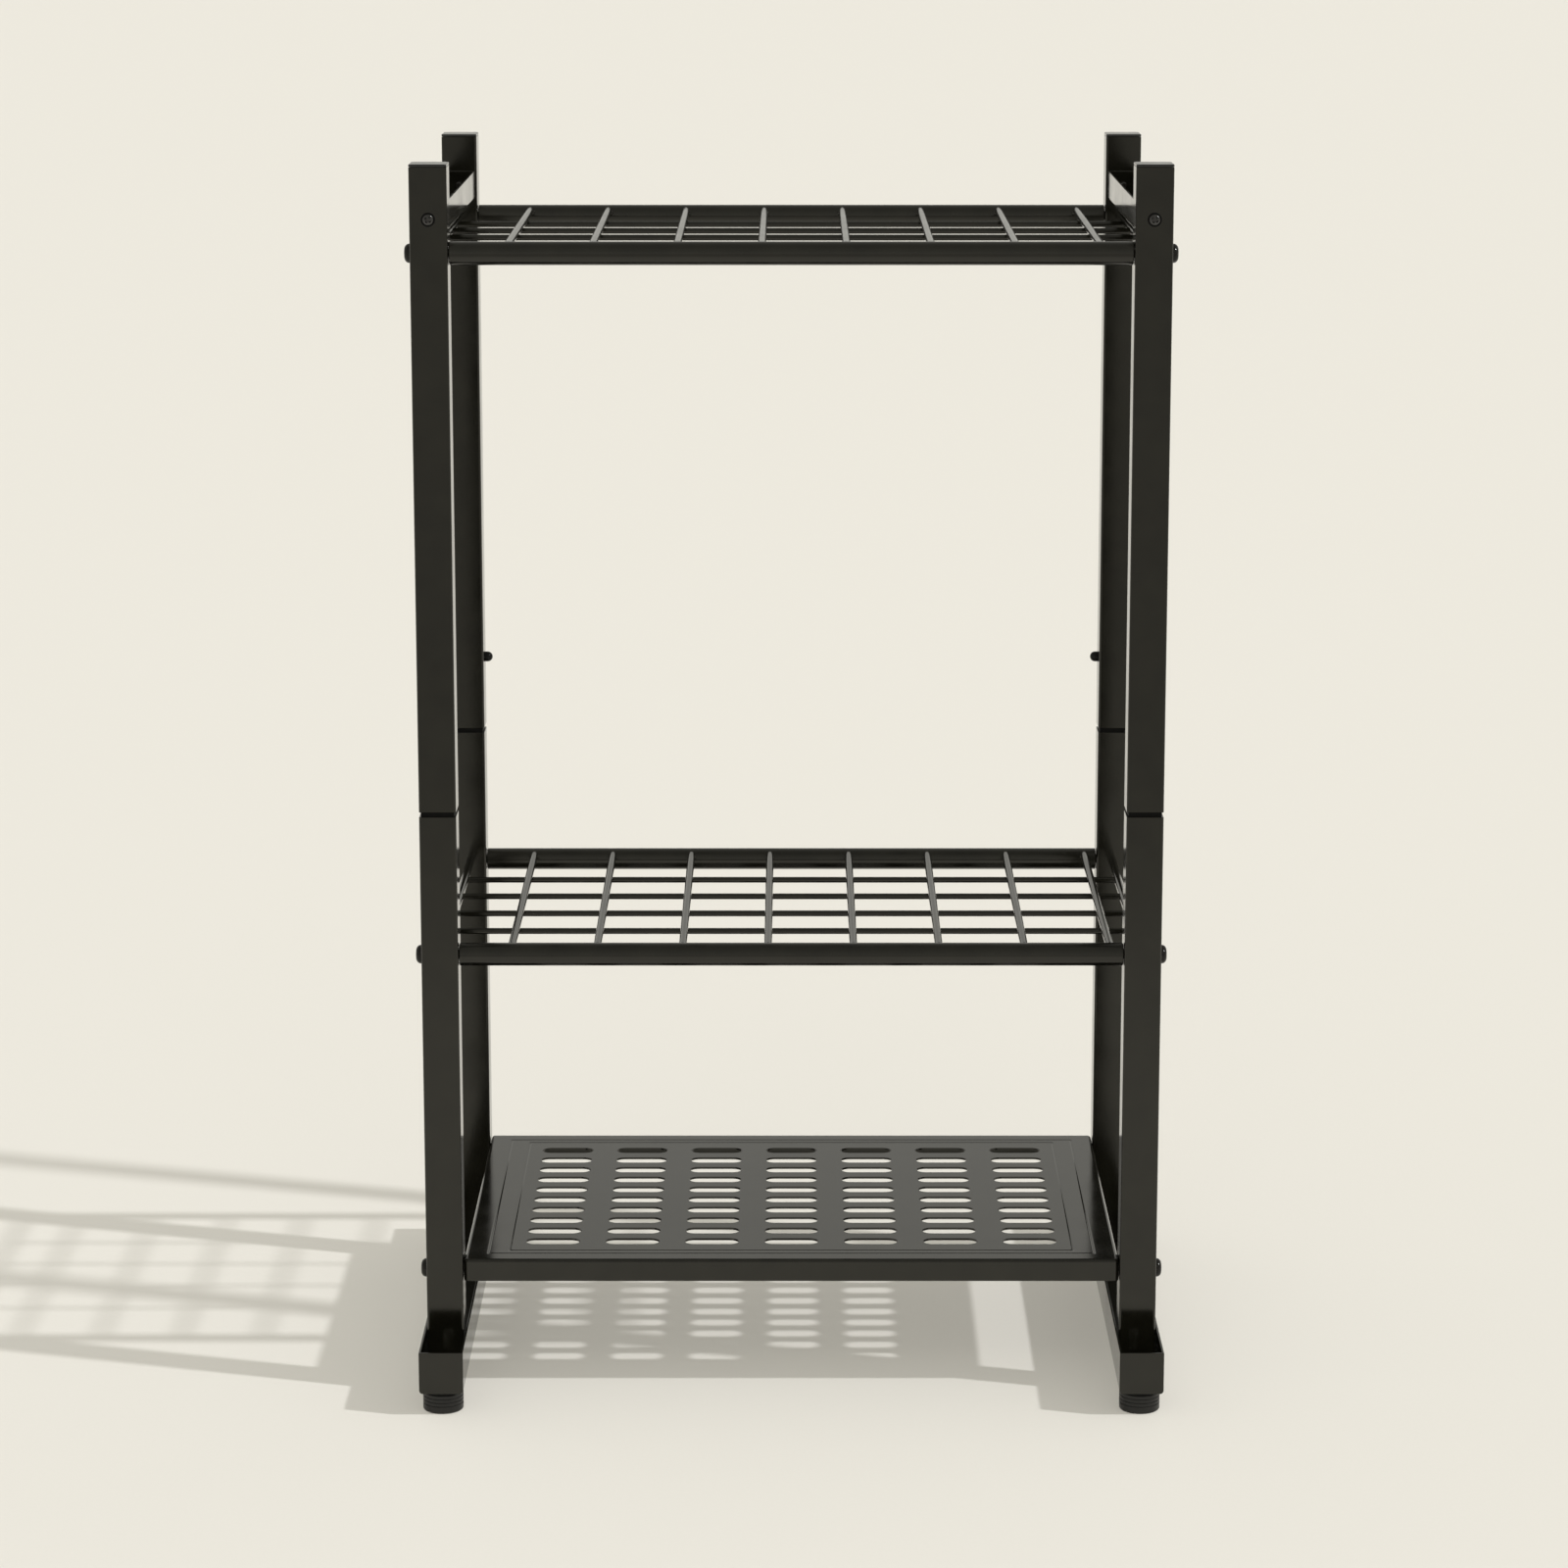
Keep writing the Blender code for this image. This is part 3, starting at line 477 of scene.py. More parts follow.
PAINT = gloss_paint()
PLASTIC = moulded_plastic()
CAP_PLASTIC = polished_plastic()
SLEEVE_PLASTIC = dull_plastic("dull_black_plastic", 0.12, 0.55, 0.70)
DARK_PLASTIC = dull_plastic("button_black_plastic", 0.25, 0.16, 0.28)
FASTENER = dark_fastener("black_oxide_steel", 0.25)
SCREW = dark_fastener("polished_black_steel", 0.8)
ZINC = bright_steel("zinc_plate", (0.62, 0.62, 0.60), 0.25, 0.45)
SPRING = bright_steel("spring_strip", (0.42, 0.42, 0.44), 0.2, 0.35)


# ---------------------------------------------------------------- posts

def post_tube(node):
    """A square tube with broken edges, in the place of a CAD post."""
    low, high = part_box(node)
    outer = high.x - low.x
    inner = outer - 2 * POST_WALL
    rings = []
    for inset, height in ((EDGE, low.z), (0, low.z + EDGE), (0, high.z - EDGE), (EDGE, high.z)):
        width = outer - 2 * inset
        rings.append((rounded_rectangle(width, width, POST_RADIUS), height))
    for height in (high.z, low.z):
        rings.append((rounded_rectangle(inner, inner, POST_RADIUS - POST_WALL), height))
    centre = (low + high) / 2
    return moved(stack(rings, closed=True), Matrix.Translation((centre.x, centre.y, 0)))


def cut_button_hole(shape, centre, side, reach):
    """Bores the hole for a snap button through the inner wall of a post or sleeve."""
    height = middle(f"snap_button_{'left' if side < 0 else 'right'}").z
    bore = rod((centre.x, centre.y, height), (centre.x - side * reach, centre.y, height),
               BUTTON_HOLE, HOLE_SIDES)
    return boolean(shape, bore, "DIFFERENCE")


def make_posts():
    for name, side, end in CORNERS:
        for part in ("lower", "upper"):
            node = f"{part}_post_{name}"
            shape = post_tube(node)
            if part == "upper" and end == ENDS["rear"]:
                shape = cut_button_hole(shape, middle(node), side, size(node).x)
            piece(f"{part}_post_shell_{name}", shape, PAINT, "rack", [node])


def make_caps():
    for name, _, _ in CORNERS:
        node = f"post_cap_{name}"
        low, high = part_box(node)
        outer = high.x - low.x
        head = high.z - CAP_HEAD
        body = outer - 2 * POST_WALL - 2 * PLAY
        rings = [(rounded_rectangle(body, body, PLUG_CORNER), low.z),
                 (rounded_rectangle(body, body, PLUG_CORNER), head)]
        for inset, height in CAP_EDGE:
            width = outer - 2 * inset * MM
            rings.append((rounded_rectangle(width, width, POST_RADIUS), head + height * MM))
        centre = (low + high) / 2
        shape = moved(stack(rings), Matrix.Translation((centre.x, centre.y, 0)))
        piece(f"end_cap_{name}", shape, CAP_PLASTIC, "rack", [node])


# ---------------------------------------------------------------- channels

def u_line(width, height, inset, radius, order, steps=6):
    """One surface of a bent U, inset from the outside: down one side, across, and up."""
    edge = width / 2 - inset
    bend = radius - inset
    points = [(order[0] * edge, height)]
    for side in order:
        for step in range(steps + 1):
            turn = step / steps * pi / 2
            angle = turn if side == order[0] else pi / 2 - turn
            points.append((side * (edge - bend + bend * cos(angle)),
                           inset + bend - bend * sin(angle)))
    points.append((order[1] * edge, height))
    return points


def extruded_y(points, low, high):
    """An outline in XZ drawn out along Y."""
    shape = bmesh.new()
    loops = [[shape.verts.new((x, y, z)) for x, z in points] for y in (low, high)]
    bridge(shape, loops[0], loops[1])
    shape.faces.new(list(reversed(loops[0])))
    shape.faces.new(loops[1])
    return shape


def bevel_edges(shape, width, angle=50, segments=2):
    """Breaks every edge that is sharper than an angle."""
    bmesh.ops.recalc_face_normals(shape, faces=shape.faces)
    sharp = [edge for edge in shape.edges
             if edge.is_manifold and edge.calc_face_angle(0) > radians(angle)]
    bmesh.ops.bevel(shape, geom=sharp, offset=width, segments=segments, profile=0.5,
                    affect="EDGES", clamp_overlap=True)
    return shape


def channel(node, wall, end_wall, radius):
    """A bent trough with an end plate welded in each end, in the place of a CAD rail."""
    low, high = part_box(node)
    width, height = high.x - low.x, high.z - low.z
    outside = u_line(width, height, 0.0, radius, (-1, 1))
    inside = u_line(width, height, wall, radius, (1, -1))
    body = bevel_edges(extruded_y(outside + inside, low.y + end_wall, high.y - end_wall), EDGE)
    plates = []
    for start, stop in ((low.y, low.y + end_wall - TOUCH), (high.y - end_wall + TOUCH, high.y)):
        plates.append(bevel_edges(extruded_y(outside, start, stop), END_PLATE_EDGE, 40))
    shape = joined([body] + plates)
    return moved(shape, Matrix.Translation(((low.x + high.x) / 2, 0, low.z)))


def hex_nut(sides=24):
    """The welded nut that a levelling stud turns in, standing on its base."""
    outside, inside = hexagon(NUT_ACROSS, sides), circle(STUD_HOLE, sides)
    rim = hexagon(NUT_ACROSS - 2 * NUT_BEVEL, sides)
    return stack([(rim, 0.0), (outside, NUT_BEVEL), (outside, NUT_HEIGHT - NUT_BEVEL),
                  (rim, NUT_HEIGHT), (inside, NUT_HEIGHT), (inside, 0.0)], closed=True)


def make_rails():
    for name in SIDES:
        node = f"base_rail_{name}"
        shape = channel(node, RAIL_SHEET, RAIL_SHEET, BEND_RADIUS)
        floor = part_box(node)[0].z
        nuts = []
        for end in ENDS:
            foot = middle(f"foot_stud_{end}_{name}")
            hole = rod((foot.x, foot.y, floor - STUD_HOLE_REACH),
                       (foot.x, foot.y, floor + STUD_HOLE_REACH), STUD_HOLE, HOLE_SIDES)
            shape = boolean(shape, hole, "DIFFERENCE")
            nut = Matrix.Translation((foot.x, foot.y, floor + RAIL_SHEET))
            nuts.append(moved(hex_nut(), nut))
        piece(f"base_channel_{name}", joined([shape] + nuts), PAINT, "rack", [node])
        node = f"top_rail_{name}"
        shape = channel(node, SHEET, TIE_END_SHEET, TIE_BEND_RADIUS)
        piece(f"top_channel_{name}", shape, PAINT, "rack", [node])


# ---------------------------------------------------------------- feet

def threaded(radius, depth, pitch, length, sides=32, steps_per_turn=12):
    """A screw thread: the radius follows a triangle wave that climbs with the turn."""
    rows = int(length / pitch * steps_per_turn)
    shape = bmesh.new()
    loops = []
    for row in range(rows + 1):
        height = row / steps_per_turn * pitch
        points = []
        for index in range(sides):
            phase = (height / pitch - index / sides) % 1.0
            ridge = 1 - abs(2 * phase - 1)
            fade = min(1.0, (length - height) / (1.5 * MM), height / (0.5 * MM) + 0.2)
            here = radius - depth * (1 - ridge * max(fade, 0.0))
            points.append((here * cos(tau * index / sides), here * sin(tau * index / sides)))
        loops.append(ring(shape, points, height))
    for lower, upper in zip(loops, loops[1:]):
        bridge(shape, lower, upper)
    shape.faces.new(list(reversed(loops[0])))
    shape.faces.new(loops[-1])
    return shape


def pad_profile(radius, tall):
    """A moulded pad: hollow under its middle, ringed, round at its edges, bored from above."""
    roof, wall, mouth = [radius * share for share in PAD_HOLLOW_SHARES]
    profile = [(PAD_EYE, PAD_HOLLOW), (roof, PAD_HOLLOW), (wall, TOUCH), (mouth, 0.0)]
    for step in range(7):
        turn = step / 6 * pi / 2
        profile.append((radius - PAD_FOOT_ROUND + PAD_FOOT_ROUND * sin(turn),
                        PAD_FOOT_ROUND - PAD_FOOT_ROUND * cos(turn)))
    for drop in PAD_GROOVES:
        for rise, share in PAD_GROOVE_SECTION:
            profile.append((radius - share * PAD_GROOVE_DEPTH, tall - drop + rise))
    for step in range(5):
        turn = step / 4 * pi / 2
        profile.append((radius - PAD_TOP_ROUND + PAD_TOP_ROUND * cos(turn),
                        tall - PAD_TOP_ROUND + PAD_TOP_ROUND * sin(turn)))
    profile += [(PAD_BORE + PAD_BORE_EDGE, tall), (PAD_BORE, tall - PAD_BORE_EDGE),
                (PAD_BORE, tall - PAD_BORE_DEPTH), (PAD_EYE, tall - PAD_BORE_DEPTH)]
    return profile


def stud(low, base, high):
    """A threaded stud with a collar that lies just over its pad."""
    start = base + COLLAR_HEIGHT
    across, along = COLLAR_BEVEL
    rim = COLLAR_RADIUS - across
    collar = [(STUD_PLAIN, low), (STUD_PLAIN, base), (rim, base), (COLLAR_RADIUS, base + along),
              (COLLAR_RADIUS, start - along), (rim, start), (STUD_CORE, start),
              (STUD_CORE, start + 2 * TOUCH)]
    screw = threaded(STUD_RADIUS, THREAD_DEPTH, THREAD_PITCH, high - start)
    return joined([turned(collar, 40), moved(screw, Matrix.Translation((0, 0, start)))])


def make_feet():
    for name, _, _ in CORNERS:
        pad_node, stud_node = f"foot_pad_{name}", f"foot_stud_{name}"
        low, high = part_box(pad_node)
        centre = (low + high) / 2
        pad = turned(pad_profile((high.x - low.x) / 2, high.z - low.z), 72, closed=True)
        moved(pad, Matrix.Translation((centre.x, centre.y, low.z)))
        piece(f"levelling_pad_{name}", pad, PLASTIC, f"foot_{name}", [pad_node])
        bottom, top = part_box(stud_node)
        shape = stud(bottom.z, high.z + PLAY, top.z)
        moved(shape, Matrix.Translation((centre.x, centre.y, 0)))
        piece(f"levelling_stud_{name}", shape, ZINC, f"foot_{name}", [stud_node])


# ---------------------------------------------------------------- wire shelves

def make_tube(node, label):
    low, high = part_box(node)
    radius = (high.z - low.z) / 2
    length = high.x - low.x
    profile = [(TUBE_BORE, 0.0), (radius - 2 * EDGE, 0.0), (radius, 1.5 * EDGE),
               (radius, length - 1.5 * EDGE), (radius - 2 * EDGE, length),
               (TUBE_BORE, length)]
    centre = (low + high) / 2
    shape = moved(turned(profile, TUBE_SIDES, closed=True), towards((1, 0, 0)))
    moved(shape, Matrix.Translation((low.x, centre.y, centre.z)))
    piece(label, shape, PAINT, "rack", [node])


def weld_bead(place, radii):
    """A small flattened bead of weld metal."""
    shape = bmesh.new()
    bmesh.ops.create_icosphere(shape, subdivisions=3, radius=1.0)
    bmesh.ops.scale(shape, vec=radii, verts=shape.verts)
    return moved(shape, Matrix.Translation(place))


def make_grid(shelf):
    node = f"{shelf}_shelf_grid"
    low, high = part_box(node)
    tube_front = middle(f"{shelf}_shelf_tube_front")
    tube_rear = middle(f"{shelf}_shelf_tube_rear")
    tube_radius = size(f"{shelf}_shelf_tube_front").z / 2
    level = high.z - CROSS_WIRE_RADIUS
    long_level = level - CROSS_WIRE_RADIUS - LONG_WIRE_RADIUS + WELD
    end_x = high.x - END_BAR_RADIUS
    pitch, shift = CROSS_WIRES[shelf]
    reach_low = tube_front.y + tube_radius - WIRE_SINK
    reach_high = tube_rear.y - tube_radius + WIRE_SINK
    cross = [rod((x + shift, reach_low, level), (x + shift, reach_high, level),
                 CROSS_WIRE_RADIUS, WIRE_SIDES) for x in spread(CROSS_WIRE_COUNT, pitch)]
    long = [rod((-end_x, y, long_level), (end_x, y, long_level), LONG_WIRE_RADIUS, WIRE_SIDES)
            for y in spread(LONG_WIRE_COUNT, LONG_WIRE_PITCH)]
    bars = [rod((side * end_x, low.y, long_level), (side * end_x, high.y, long_level),
                END_BAR_RADIUS, WIRE_SIDES, EDGE) for side in SIDES.values()]
    frame_wires = boolean(joined(long), joined(bars), "UNION")
    shape = boolean(joined(cross), frame_wires, "UNION")
    beads = []
    for x in spread(CROSS_WIRE_COUNT, pitch):
        for y, way in ((reach_low, 1), (reach_high, -1)):
            beads.append(weld_bead((x + shift, y + way * BEAD_OUT, level - BEAD_DROP),
                                   BEAD_HALF))
    piece(f"{shelf}_wire_grid", joined([shape] + beads), PAINT, "rack", [node])


def make_wire_shelves():
    for shelf in ("top", "middle"):
        for end in ENDS:
            make_tube(f"{shelf}_shelf_tube_{end}", f"{shelf}_round_tube_{end}")
        make_grid(shelf)


# ---------------------------------------------------------------- slotted plate

def slot_points(grow):
    """A slot with round ends, anticlockwise from the lower right corner of its straight part."""
    radius = SLOT_WIDTH / 2
    straight = SLOT_LENGTH / 2 - radius
    points = []
    for side, start in ((1, -pi / 2), (-1, pi / 2)):
        for step in range(SLOT_END_STEPS + 1):
            angle = start + step / SLOT_END_STEPS * pi
            points.append((side * straight + (radius + grow) * cos(angle),
                           (radius + grow) * sin(angle)))
    return points


def cell_points():
    """The points on the border of a slot's cell that face the points of its outline."""
    half_x, half_y = SLOT_PITCH[0] / 2, SLOT_PITCH[1] / 2
    straight = SLOT_LENGTH / 2 - SLOT_WIDTH / 2
    points = []
    for x, y in slot_points(0.0):
        out_x, out_y = x - (straight if x > 0 else -straight), y
        corner = atan2(half_y, half_x - straight)
        angle = atan2(out_y, abs(out_x))
        side = 1 if x > 0 else -1
        if abs(angle) <= corner:
            tall = half_y * angle / corner
            points.append((side * half_x, tall))
        else:
            share = (abs(angle) - corner) / (pi / 2 - corner)
            wide = half_x + (straight - half_x) * share
            points.append((side * wide, half_y if y > 0 else -half_y))
    for corner in ((half_x, half_y), (-half_x, half_y), (-half_x, -half_y), (half_x, -half_y)):
        nearest = min(points, key=lambda point: hypot(point[0] - corner[0],
                                                      point[1] - corner[1]))
        points[points.index(nearest)] = corner
    return points


def plate_outline(width, depth, inset, height, inset_y=None):
    """The plate's outline, drawn in from its edge by an inset."""
    inset_y = inset if inset_y is None else inset_y
    radius = max(BEND_RADIUS - inset, PLATE_CORNER) if inset < BEND_RADIUS else GROOVE_CORNER
    return rounded_rectangle(width - 2 * inset, depth - 2 * inset_y, radius), height


def groove_outlines(width, depth, surface):
    """The pressed creases on one side of the sheet, from the slots outward."""
    made = []
    for inset, inset_y in sorted(GROOVE_INSETS, reverse=True):
        for share, drop in GROOVE_SECTION:
            offset = share * GROOVE_HALF
            made.append(plate_outline(width, depth, inset + offset,
                                      surface - drop * GROOVE_DEPTH, inset_y + offset))
    return made


def sheet_around_slots(width, depth, flange):
    """The sheet outside the slots: its top, the bend, the flange and back underneath."""
    levels = groove_outlines(width, depth, 0.0)
    steps = 6
    for step in range(steps + 1):
        turn = step / steps * pi / 2
        levels.append(plate_outline(width, depth, BEND_RADIUS * (1 - sin(turn)),
                                    -BEND_RADIUS * (1 - cos(turn))))
    for inset, height in ((0.0, EDGE - flange), (EDGE, -flange), (PLATE_SHEET - EDGE, -flange),
                          (PLATE_SHEET, EDGE - flange)):
        levels.append(plate_outline(width, depth, inset, height))
    bend = BEND_RADIUS - PLATE_SHEET
    for step in range(steps + 1):
        turn = step / steps * pi / 2
        levels.append(plate_outline(width, depth, PLATE_SHEET + bend * (1 - cos(turn)),
                                    -BEND_RADIUS + bend * sin(turn)))
    levels += list(reversed(groove_outlines(width, depth, -PLATE_SHEET)))
    shape = bmesh.new()
    loops = [ring(shape, points, height) for points, height in levels]
    for lower, upper in zip(loops, loops[1:]):
        bridge(shape, lower, upper)
    return shape


def slot_cells():
    """The slotted field: each slot has a cell of its own, and the cells share their borders.

    A narrow flat land round each slot keeps the sheet's shading clear of the rounded edge.
    """
    round_steps = 3
    wall = [(2 * SLOT_ROUND, 0.0)]
    for step in range(round_steps + 1):
        turn = step / round_steps * pi / 2
        wall.append((SLOT_ROUND * (1 - sin(turn)), -SLOT_ROUND * (1 - cos(turn))))
    wall += [(grow, -PLATE_SHEET - drop) for grow, drop in reversed(wall)]
    border = cell_points()
    rows = [(border, 0.0)]
    rows += [(slot_points(grow), drop) for grow, drop in wall]
    rows.append((border, -PLATE_SHEET))
    block = bmesh.new()
    for x in spread(SLOT_COUNT[0], SLOT_PITCH[0]):
        for y in spread(SLOT_COUNT[1], SLOT_PITCH[1]):
            made = [[block.verts.new((x + u, y + v, height)) for u, v in points]
                    for points, height in rows]
            for lower, upper in zip(made, made[1:]):
                bridge(block, lower, upper)
    bmesh.ops.remove_doubles(block, verts=block.verts, dist=1e-6)
    return block


def make_plate():
    node = "bottom_shelf_plate"
    low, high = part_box(node)
    around = sheet_around_slots(high.x - low.x, high.y - low.y, high.z - low.z)
    shape = joined([around, slot_cells()])
    for height in (0.0, -PLATE_SHEET):
        rim = [edge for edge in shape.edges if edge.is_boundary
               and abs(edge.verts[0].co.z - height) < 1e-6
               and abs(edge.verts[1].co.z - height) < 1e-6]
        bmesh.ops.triangle_fill(shape, use_beauty=True, use_dissolve=False, edges=rim,
                                normal=(0, 0, 1))
    centre = (low + high) / 2
    moved(shape, Matrix.Translation((centre.x, centre.y, high.z)))
    piece("slotted_plate", shape, PAINT, "rack", [node], 28)


# ---------------------------------------------------------------- fasteners

def hexagon(across, sides):
    """A hexagon, read off at as many points as the circle that it meets."""
    points = []
    for index in range(sides):
        angle = tau * index / sides
        local = (angle % (pi / 3)) - pi / 6
        radius = across / 2 / cos(local)
        points.append((radius * cos(angle), radius * sin(angle)))
    return points


def shank_rings(shank, reach, sides):
    """A plain shank, from its chamfered tip back to the seat of its head at zero."""
    return [(circle(shank - SHANK_TIP, sides), reach),
            (circle(shank, sides), reach - SHANK_TIP), (circle(shank, sides), 0.0)]


def button_head(radius, height, shank, reach, socket, sides=48):
    """A domed bolt along +Z with a hexagon socket; its head starts at zero and rises to -Z."""
    rings = shank_rings(shank, reach, sides)
    rings += [(circle(radius - BOLT_BEVEL, sides), 0.0), (circle(radius, sides), -BOLT_BEVEL),
              (circle(radius, sides), -BOLT_RIM)]
    steps = 8
    top = socket / 2 + SOCKET_LAND
    for step in range(1, steps + 1):
        turn = step / steps * pi / 2
        rings.append((circle(top + (radius - top) * cos(turn), sides),
                      -BOLT_RIM - (height - BOLT_RIM) * sin(turn)))
    rings.append((circle(socket / 2 + SOCKET_MOUTH, sides), -height))
    rings.append((hexagon(socket, sides), -height + SOCKET_SINK))
    rings.append((hexagon(socket, sides), -height + SOCKET_DEPTH))
    return stack(rings)


def cross_recess_head(radius, height, shank, reach, sides=48):
    """A pan head screw along +Z with a cross recess in its crown."""
    rings = shank_rings(shank, reach, sides)
    rings += [(circle(radius - SCREW_BEVEL, sides), 0.0), (circle(radius, sides), -SCREW_BEVEL),
              (circle(radius, sides), -SCREW_RIM)]
    steps = 7
    for step in range(1, steps + 1):
        turn = step / steps * 0.47 * pi
        rings.append((circle(radius * cos(turn), sides),
                      -SCREW_RIM - (height - SCREW_RIM) * sin(turn)))
    head = stack(rings)
    arms = []
    for quarter in range(2):
        rows = []
        for drop, long, wide in RECESS:
            rows.append(([(long * MM, wide * MM), (-long * MM, wide * MM),
                          (-long * MM, -wide * MM), (long * MM, -wide * MM)],
                         -height + drop * MM))
        turn = Matrix.Rotation(quarter * pi / 2 + RECESS_TURN, 4, "Z")
        arms.append(moved(stack(rows), turn))
    for arm in arms:
        head = boolean(head, arm, "DIFFERENCE")
    return head


def hex_head(radius, height, shank, reach, sides=48):
    """A flanged hexagon bolt along +Z, with its head below zero."""
    across = 2 * radius * HEX_SHARE
    rings = shank_rings(shank, reach, sides)
    rings += [(circle(radius, sides), 0.0), (circle(radius, sides), -HEX_FLANGE),
              (hexagon(across, sides), -HEX_FOOT),
              (hexagon(across, sides), -height + HEX_CHAMFER[1]),
              (circle(across / 2 - HEX_CHAMFER[0], sides), -height)]
    return stack(rings)


def place_fastener(name, node, shape, point, direction, look):
    matrix = Matrix.Translation(point) @ towards(direction)
    piece(name, moved(shape, matrix), look, "rack", [node])


def make_shelf_bolts():
    for name, side, _ in CORNERS:
        under = face_of(f"lower_post_{name}", 0, side) + side * PLAY
        for shelf in ("top", "middle", "bottom"):
            node = f"{shelf}_shelf_bolt_{name}"
            centre = middle(node)
            head = abs(face_of(node, 0, side) - under)
            reach = abs(under - face_of(node, 0, -side))
            shape = button_head(size(node).z / 2, head, BOLT_SHANK, reach, BOLT_SOCKET)
            place_fastener(f"{shelf}_dome_bolt_{name}", node, shape,
                           (under, centre.y, centre.z), (-side, 0, 0), FASTENER)


def make_rail_screws():
    for name, _, end in CORNERS:
        node = f"rail_screw_{name}"
        centre = middle(node)
        radius = size(node).x / 2
        face = face_of(f"upper_post_{name}", 1, end) + end * PLAY
        place = (centre.x, face, centre.z)
        # The dull black washer is painted shade: a dark ring round the screw head that stands in
        # for the shadow line under it.
        washer = turned([(radius, 0.0), (radius, -WASHER_HEIGHT), (WASHER_BORE, -WASHER_HEIGHT),
                         (WASHER_BORE, 0.0)], 48, closed=True)
        place_fastener(f"shade_ring_washer_{name}", node, washer, place, (0, -end, 0),
                       SLEEVE_PLASTIC)
        shape = cross_recess_head(radius - WASHER_RIM, abs(face_of(node, 1, end) - face),
                                  SCREW_SHANK, abs(face - face_of(node, 1, -end)))
        place_fastener(f"cross_screw_{name}", node, shape, place, (0, -end, 0), SCREW)


def make_base_bolts():
    for name, side, _ in CORNERS:
        node = f"base_bolt_{name}"
        centre = middle(node)
        rail = f"base_rail_{'left' if side < 0 else 'right'}"
        under = face_of(rail, 2, -1) - PLAY
        shape = hex_head(size(node).x / 2, under - face_of(node, 2, -1), BOLT_SHANK,
                         face_of(node, 2, 1) - under)
        place_fastener(f"base_hex_bolt_{name}", node, shape, (centre.x, centre.y, under),
                       (0, 0, 1), FASTENER)


def make_buttons():
    """Domed buttons with a flange behind. The springs that push them keep their CAD shape."""
    for name, side in SIDES.items():
        node = f"snap_button_{name}"
        centre = middle(node)
        flange = size(node).z / 2
        length = size(node).x
        profile = [(flange - BUTTON_EDGE, 0.0), (flange, BUTTON_EDGE),
                   (flange, BUTTON_FLANGE - BUTTON_EDGE), (flange - BUTTON_EDGE, BUTTON_FLANGE),
                   (BUTTON_RADIUS, BUTTON_FLANGE)]
        steps = 9
        for step in range(steps + 1):
            turn = step / steps * 0.49 * pi
            profile.append((BUTTON_RADIUS * cos(turn),
                            length - BUTTON_RADIUS + BUTTON_RADIUS * sin(turn)))
        place = Matrix.Translation((face_of(node, 0, side), centre.y, centre.z))
        shape = moved(turned(profile, 48), place @ towards((-side, 0, 0)))
        piece(f"lock_button_{name}", shape, DARK_PLASTIC, f"button_{name}", [node])


def sleeve_rings(node, low_post, high_post):
    """A sleeve's outside, with its lip in the gap between the posts, and its bore."""
    low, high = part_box(node)
    lip_low = face_of(low_post, 2, 1) + TOUCH
    lip_high = face_of(high_post, 2, -1) - TOUCH
    lip = high.x - low.x - 2 * LIP_INSET
    body = size(low_post).x - 2 * POST_WALL - 2 * PLAY
    bore = body - 2 * SLEEVE_WALL
    end = body - SLEEVE_CHAMFER
    outline = [(end, low.z), (body, low.z + SLEEVE_CHAMFER), (body, lip_low),
               (lip, lip_low), (lip, lip_high), (body, lip_high),
               (body, high.z - SLEEVE_CHAMFER), (end, high.z), (bore, high.z), (bore, low.z)]
    return [(rounded_rectangle(width, width, SLEEVE_CORNER), height)
            for width, height in outline]


def make_connectors():
    """Sleeves inside the posts. The groove at the lip shows as a dark line around each post."""
    for name, side, end in CORNERS:
        node = f"post_connector_{name}"
        centre = middle(node)
        low_post = f"lower_post_{name}"
        shape = stack(sleeve_rings(node, low_post, f"upper_post_{name}"), closed=True)
        moved(shape, Matrix.Translation((centre.x, centre.y, 0)))
        if end == ENDS["rear"]:
            shape = cut_button_hole(shape, centre, side, 2 * size(low_post).x)
        piece(f"joint_sleeve_{name}", shape, SLEEVE_PLASTIC, "rack", [node])


def finish_cad_nodes():
    """The springs keep their CAD shape."""
    for name in SIDES:
        nodes[f"button_spring_{name}"].data.materials.clear()
        nodes[f"button_spring_{name}"].data.materials.append(SPRING)


# ---------------------------------------------------------------- stage

def floor_material():
    """Pale paper with a faint fibre, with painted shade that darkens it toward the viewer, where
    the paint mirrors it.
    """
    made, nodes_, links, shader = new_material("pale_paper")
    place = nodes_.new("ShaderNodeTexCoord")
    split = nodes_.new("ShaderNodeSeparateXYZ")
    links.new(place.outputs["Object"], split.inputs["Vector"])
    # Painted shade: the paper's colour falls toward the viewer, so the gloss paint mirrors a darker
    # floor.
    fall = spread_range(nodes_, links, split.outputs["Y"], FLOOR_SHADE_SHARE, 1.0, FLOOR_SHADE_SPAN[1],
                        FLOOR_SHADE_SPAN[0])
    fall.node.interpolation_type = "SMOOTHSTEP"
    fibre = spread_range(nodes_, links, noise(nodes_, links, 350, 3), 0.995, 1.005)
    both = nodes_.new("ShaderNodeMath")
    both.operation = "MULTIPLY"
    links.new(fall, both.inputs[0])
    links.new(fibre, both.inputs[1])
    tint = nodes_.new("ShaderNodeVectorMath")
    tint.operation = "SCALE"
    tint.inputs[0].default_value = FLOOR_COLOUR
    links.new(both.outputs["Value"], tint.inputs["Scale"])
    links.new(tint.outputs["Vector"], shader.inputs["Base Color"])
    shader.inputs["Roughness"].default_value = 0.9
    shader.inputs["Specular IOR Level"].default_value = 0.0
    return made


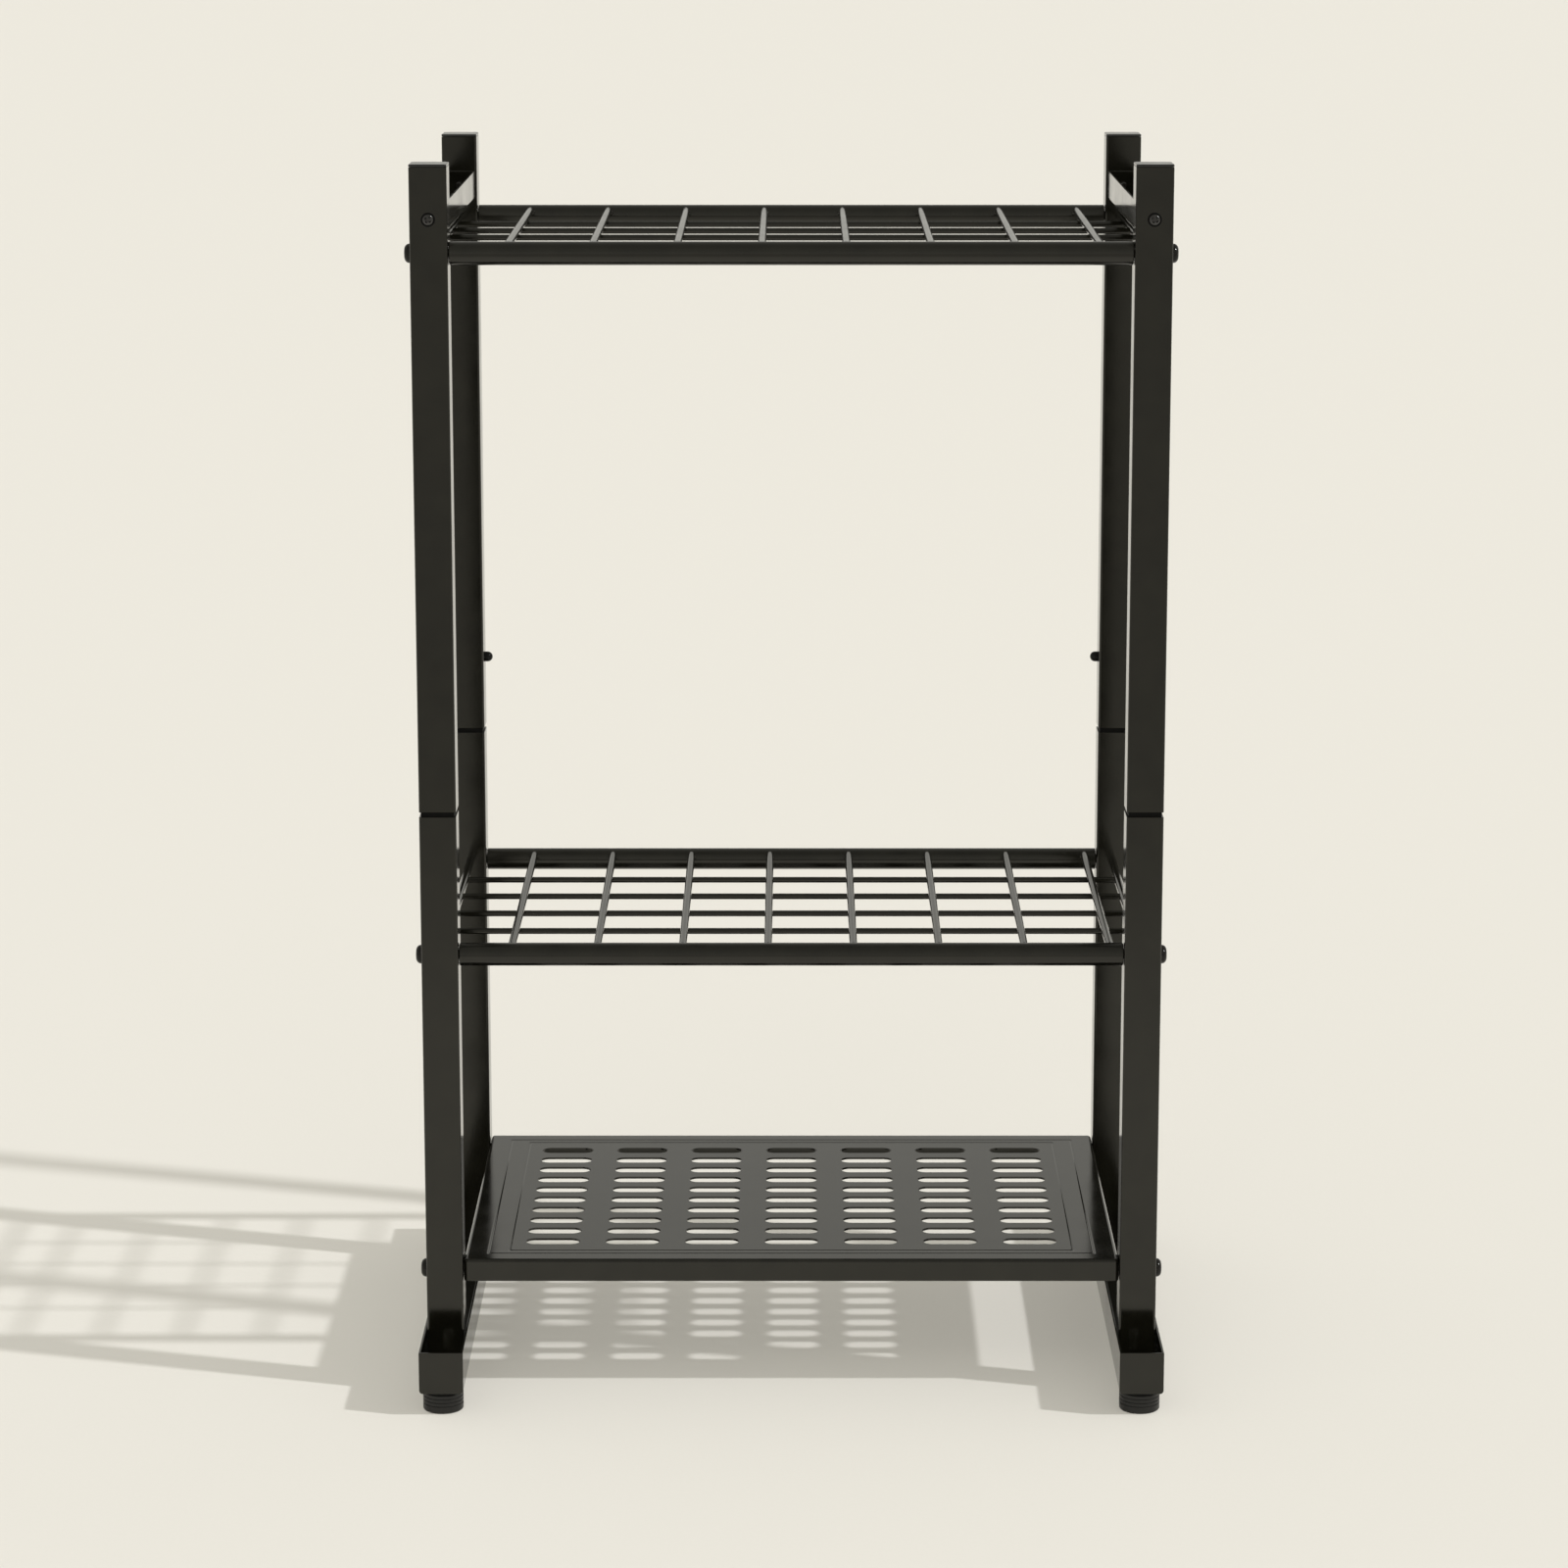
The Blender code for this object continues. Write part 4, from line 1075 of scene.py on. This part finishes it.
def make_floor():
    shape = bmesh.new()
    bmesh.ops.create_grid(shape, x_segments=8, y_segments=8, size=FLOOR_REACH)
    mesh = bpy.data.meshes.new("floor")
    shape.to_mesh(mesh)
    shape.free()
    mesh.materials.append(floor_material())
    floor = bpy.data.objects.new("floor", mesh)
    floor.location = (0, 0, cad_box[0][2])
    bpy.context.scene.collection.objects.link(floor)


def make_sky():
    """A soft warm white room, about twice as bright at the walls as overhead."""
    world = bpy.data.worlds.new("studio")
    world.use_nodes = True
    nodes_, links = world.node_tree.nodes, world.node_tree.links
    place = nodes_.new("ShaderNodeTexCoord")
    split = nodes_.new("ShaderNodeSeparateXYZ")
    links.new(place.outputs["Generated"], split.inputs["Vector"])
    level = spread_range(nodes_, links, split.outputs["Z"], SKY_LOW, SKY_HIGH, 0.0, 1.0)
    background = nodes_["Background"]
    background.inputs["Color"].default_value = (*SKY_TINT, 1)
    links.new(level, background.inputs["Strength"])
    bpy.context.scene.world = world


def make_light(name, fall, strength, angle, tint):
    light = bpy.data.lights.new(name, "SUN")
    light.energy = strength
    light.color = tint
    light.angle = radians(angle)
    lamp = bpy.data.objects.new(name, light)
    lamp.rotation_euler = Vector(fall).to_track_quat("-Z", "Y").to_euler()
    bpy.context.scene.collection.objects.link(lamp)
    return lamp


def make_lights():
    """A key light from the right, and a fill that casts no shadow and that no gloss mirrors."""
    make_light("key", LIGHT_FALL, KEY_STRENGTH, KEY_ANGLE, KEY_TINT)
    fill = make_light("fill", FILL_FALL, FILL_STRENGTH, FILL_ANGLE, SKY_TINT)
    fill.data.use_shadow = False
    fill.visible_glossy = False


def make_camera():
    scene = bpy.context.scene
    lens = bpy.data.cameras.new("camera")
    lens.sensor_width = SENSOR
    lens.lens = FOCAL_PIXELS / FRAME_PIXELS * SENSOR
    lens.shift_x = (FRAME_PIXELS / 2 - CENTRE_COLUMN) / FRAME_PIXELS
    lens.clip_end = FAR_CLIP
    camera = bpy.data.objects.new("camera", lens)
    camera.location = (0, -CAMERA_DISTANCE, CAMERA_HEIGHT)
    camera.rotation_euler = (radians(90 - CAMERA_PITCH), 0, 0)
    scene.collection.objects.link(camera)
    scene.camera = camera
    scene.view_settings.view_transform = "Standard"


make_floor()
make_sky()
make_lights()
make_camera()
make_posts()
make_caps()
make_rails()
make_feet()
make_wire_shelves()
make_plate()
make_shelf_bolts()
make_rail_screws()
make_base_bolts()
make_buttons()
make_connectors()
finish_cad_nodes()
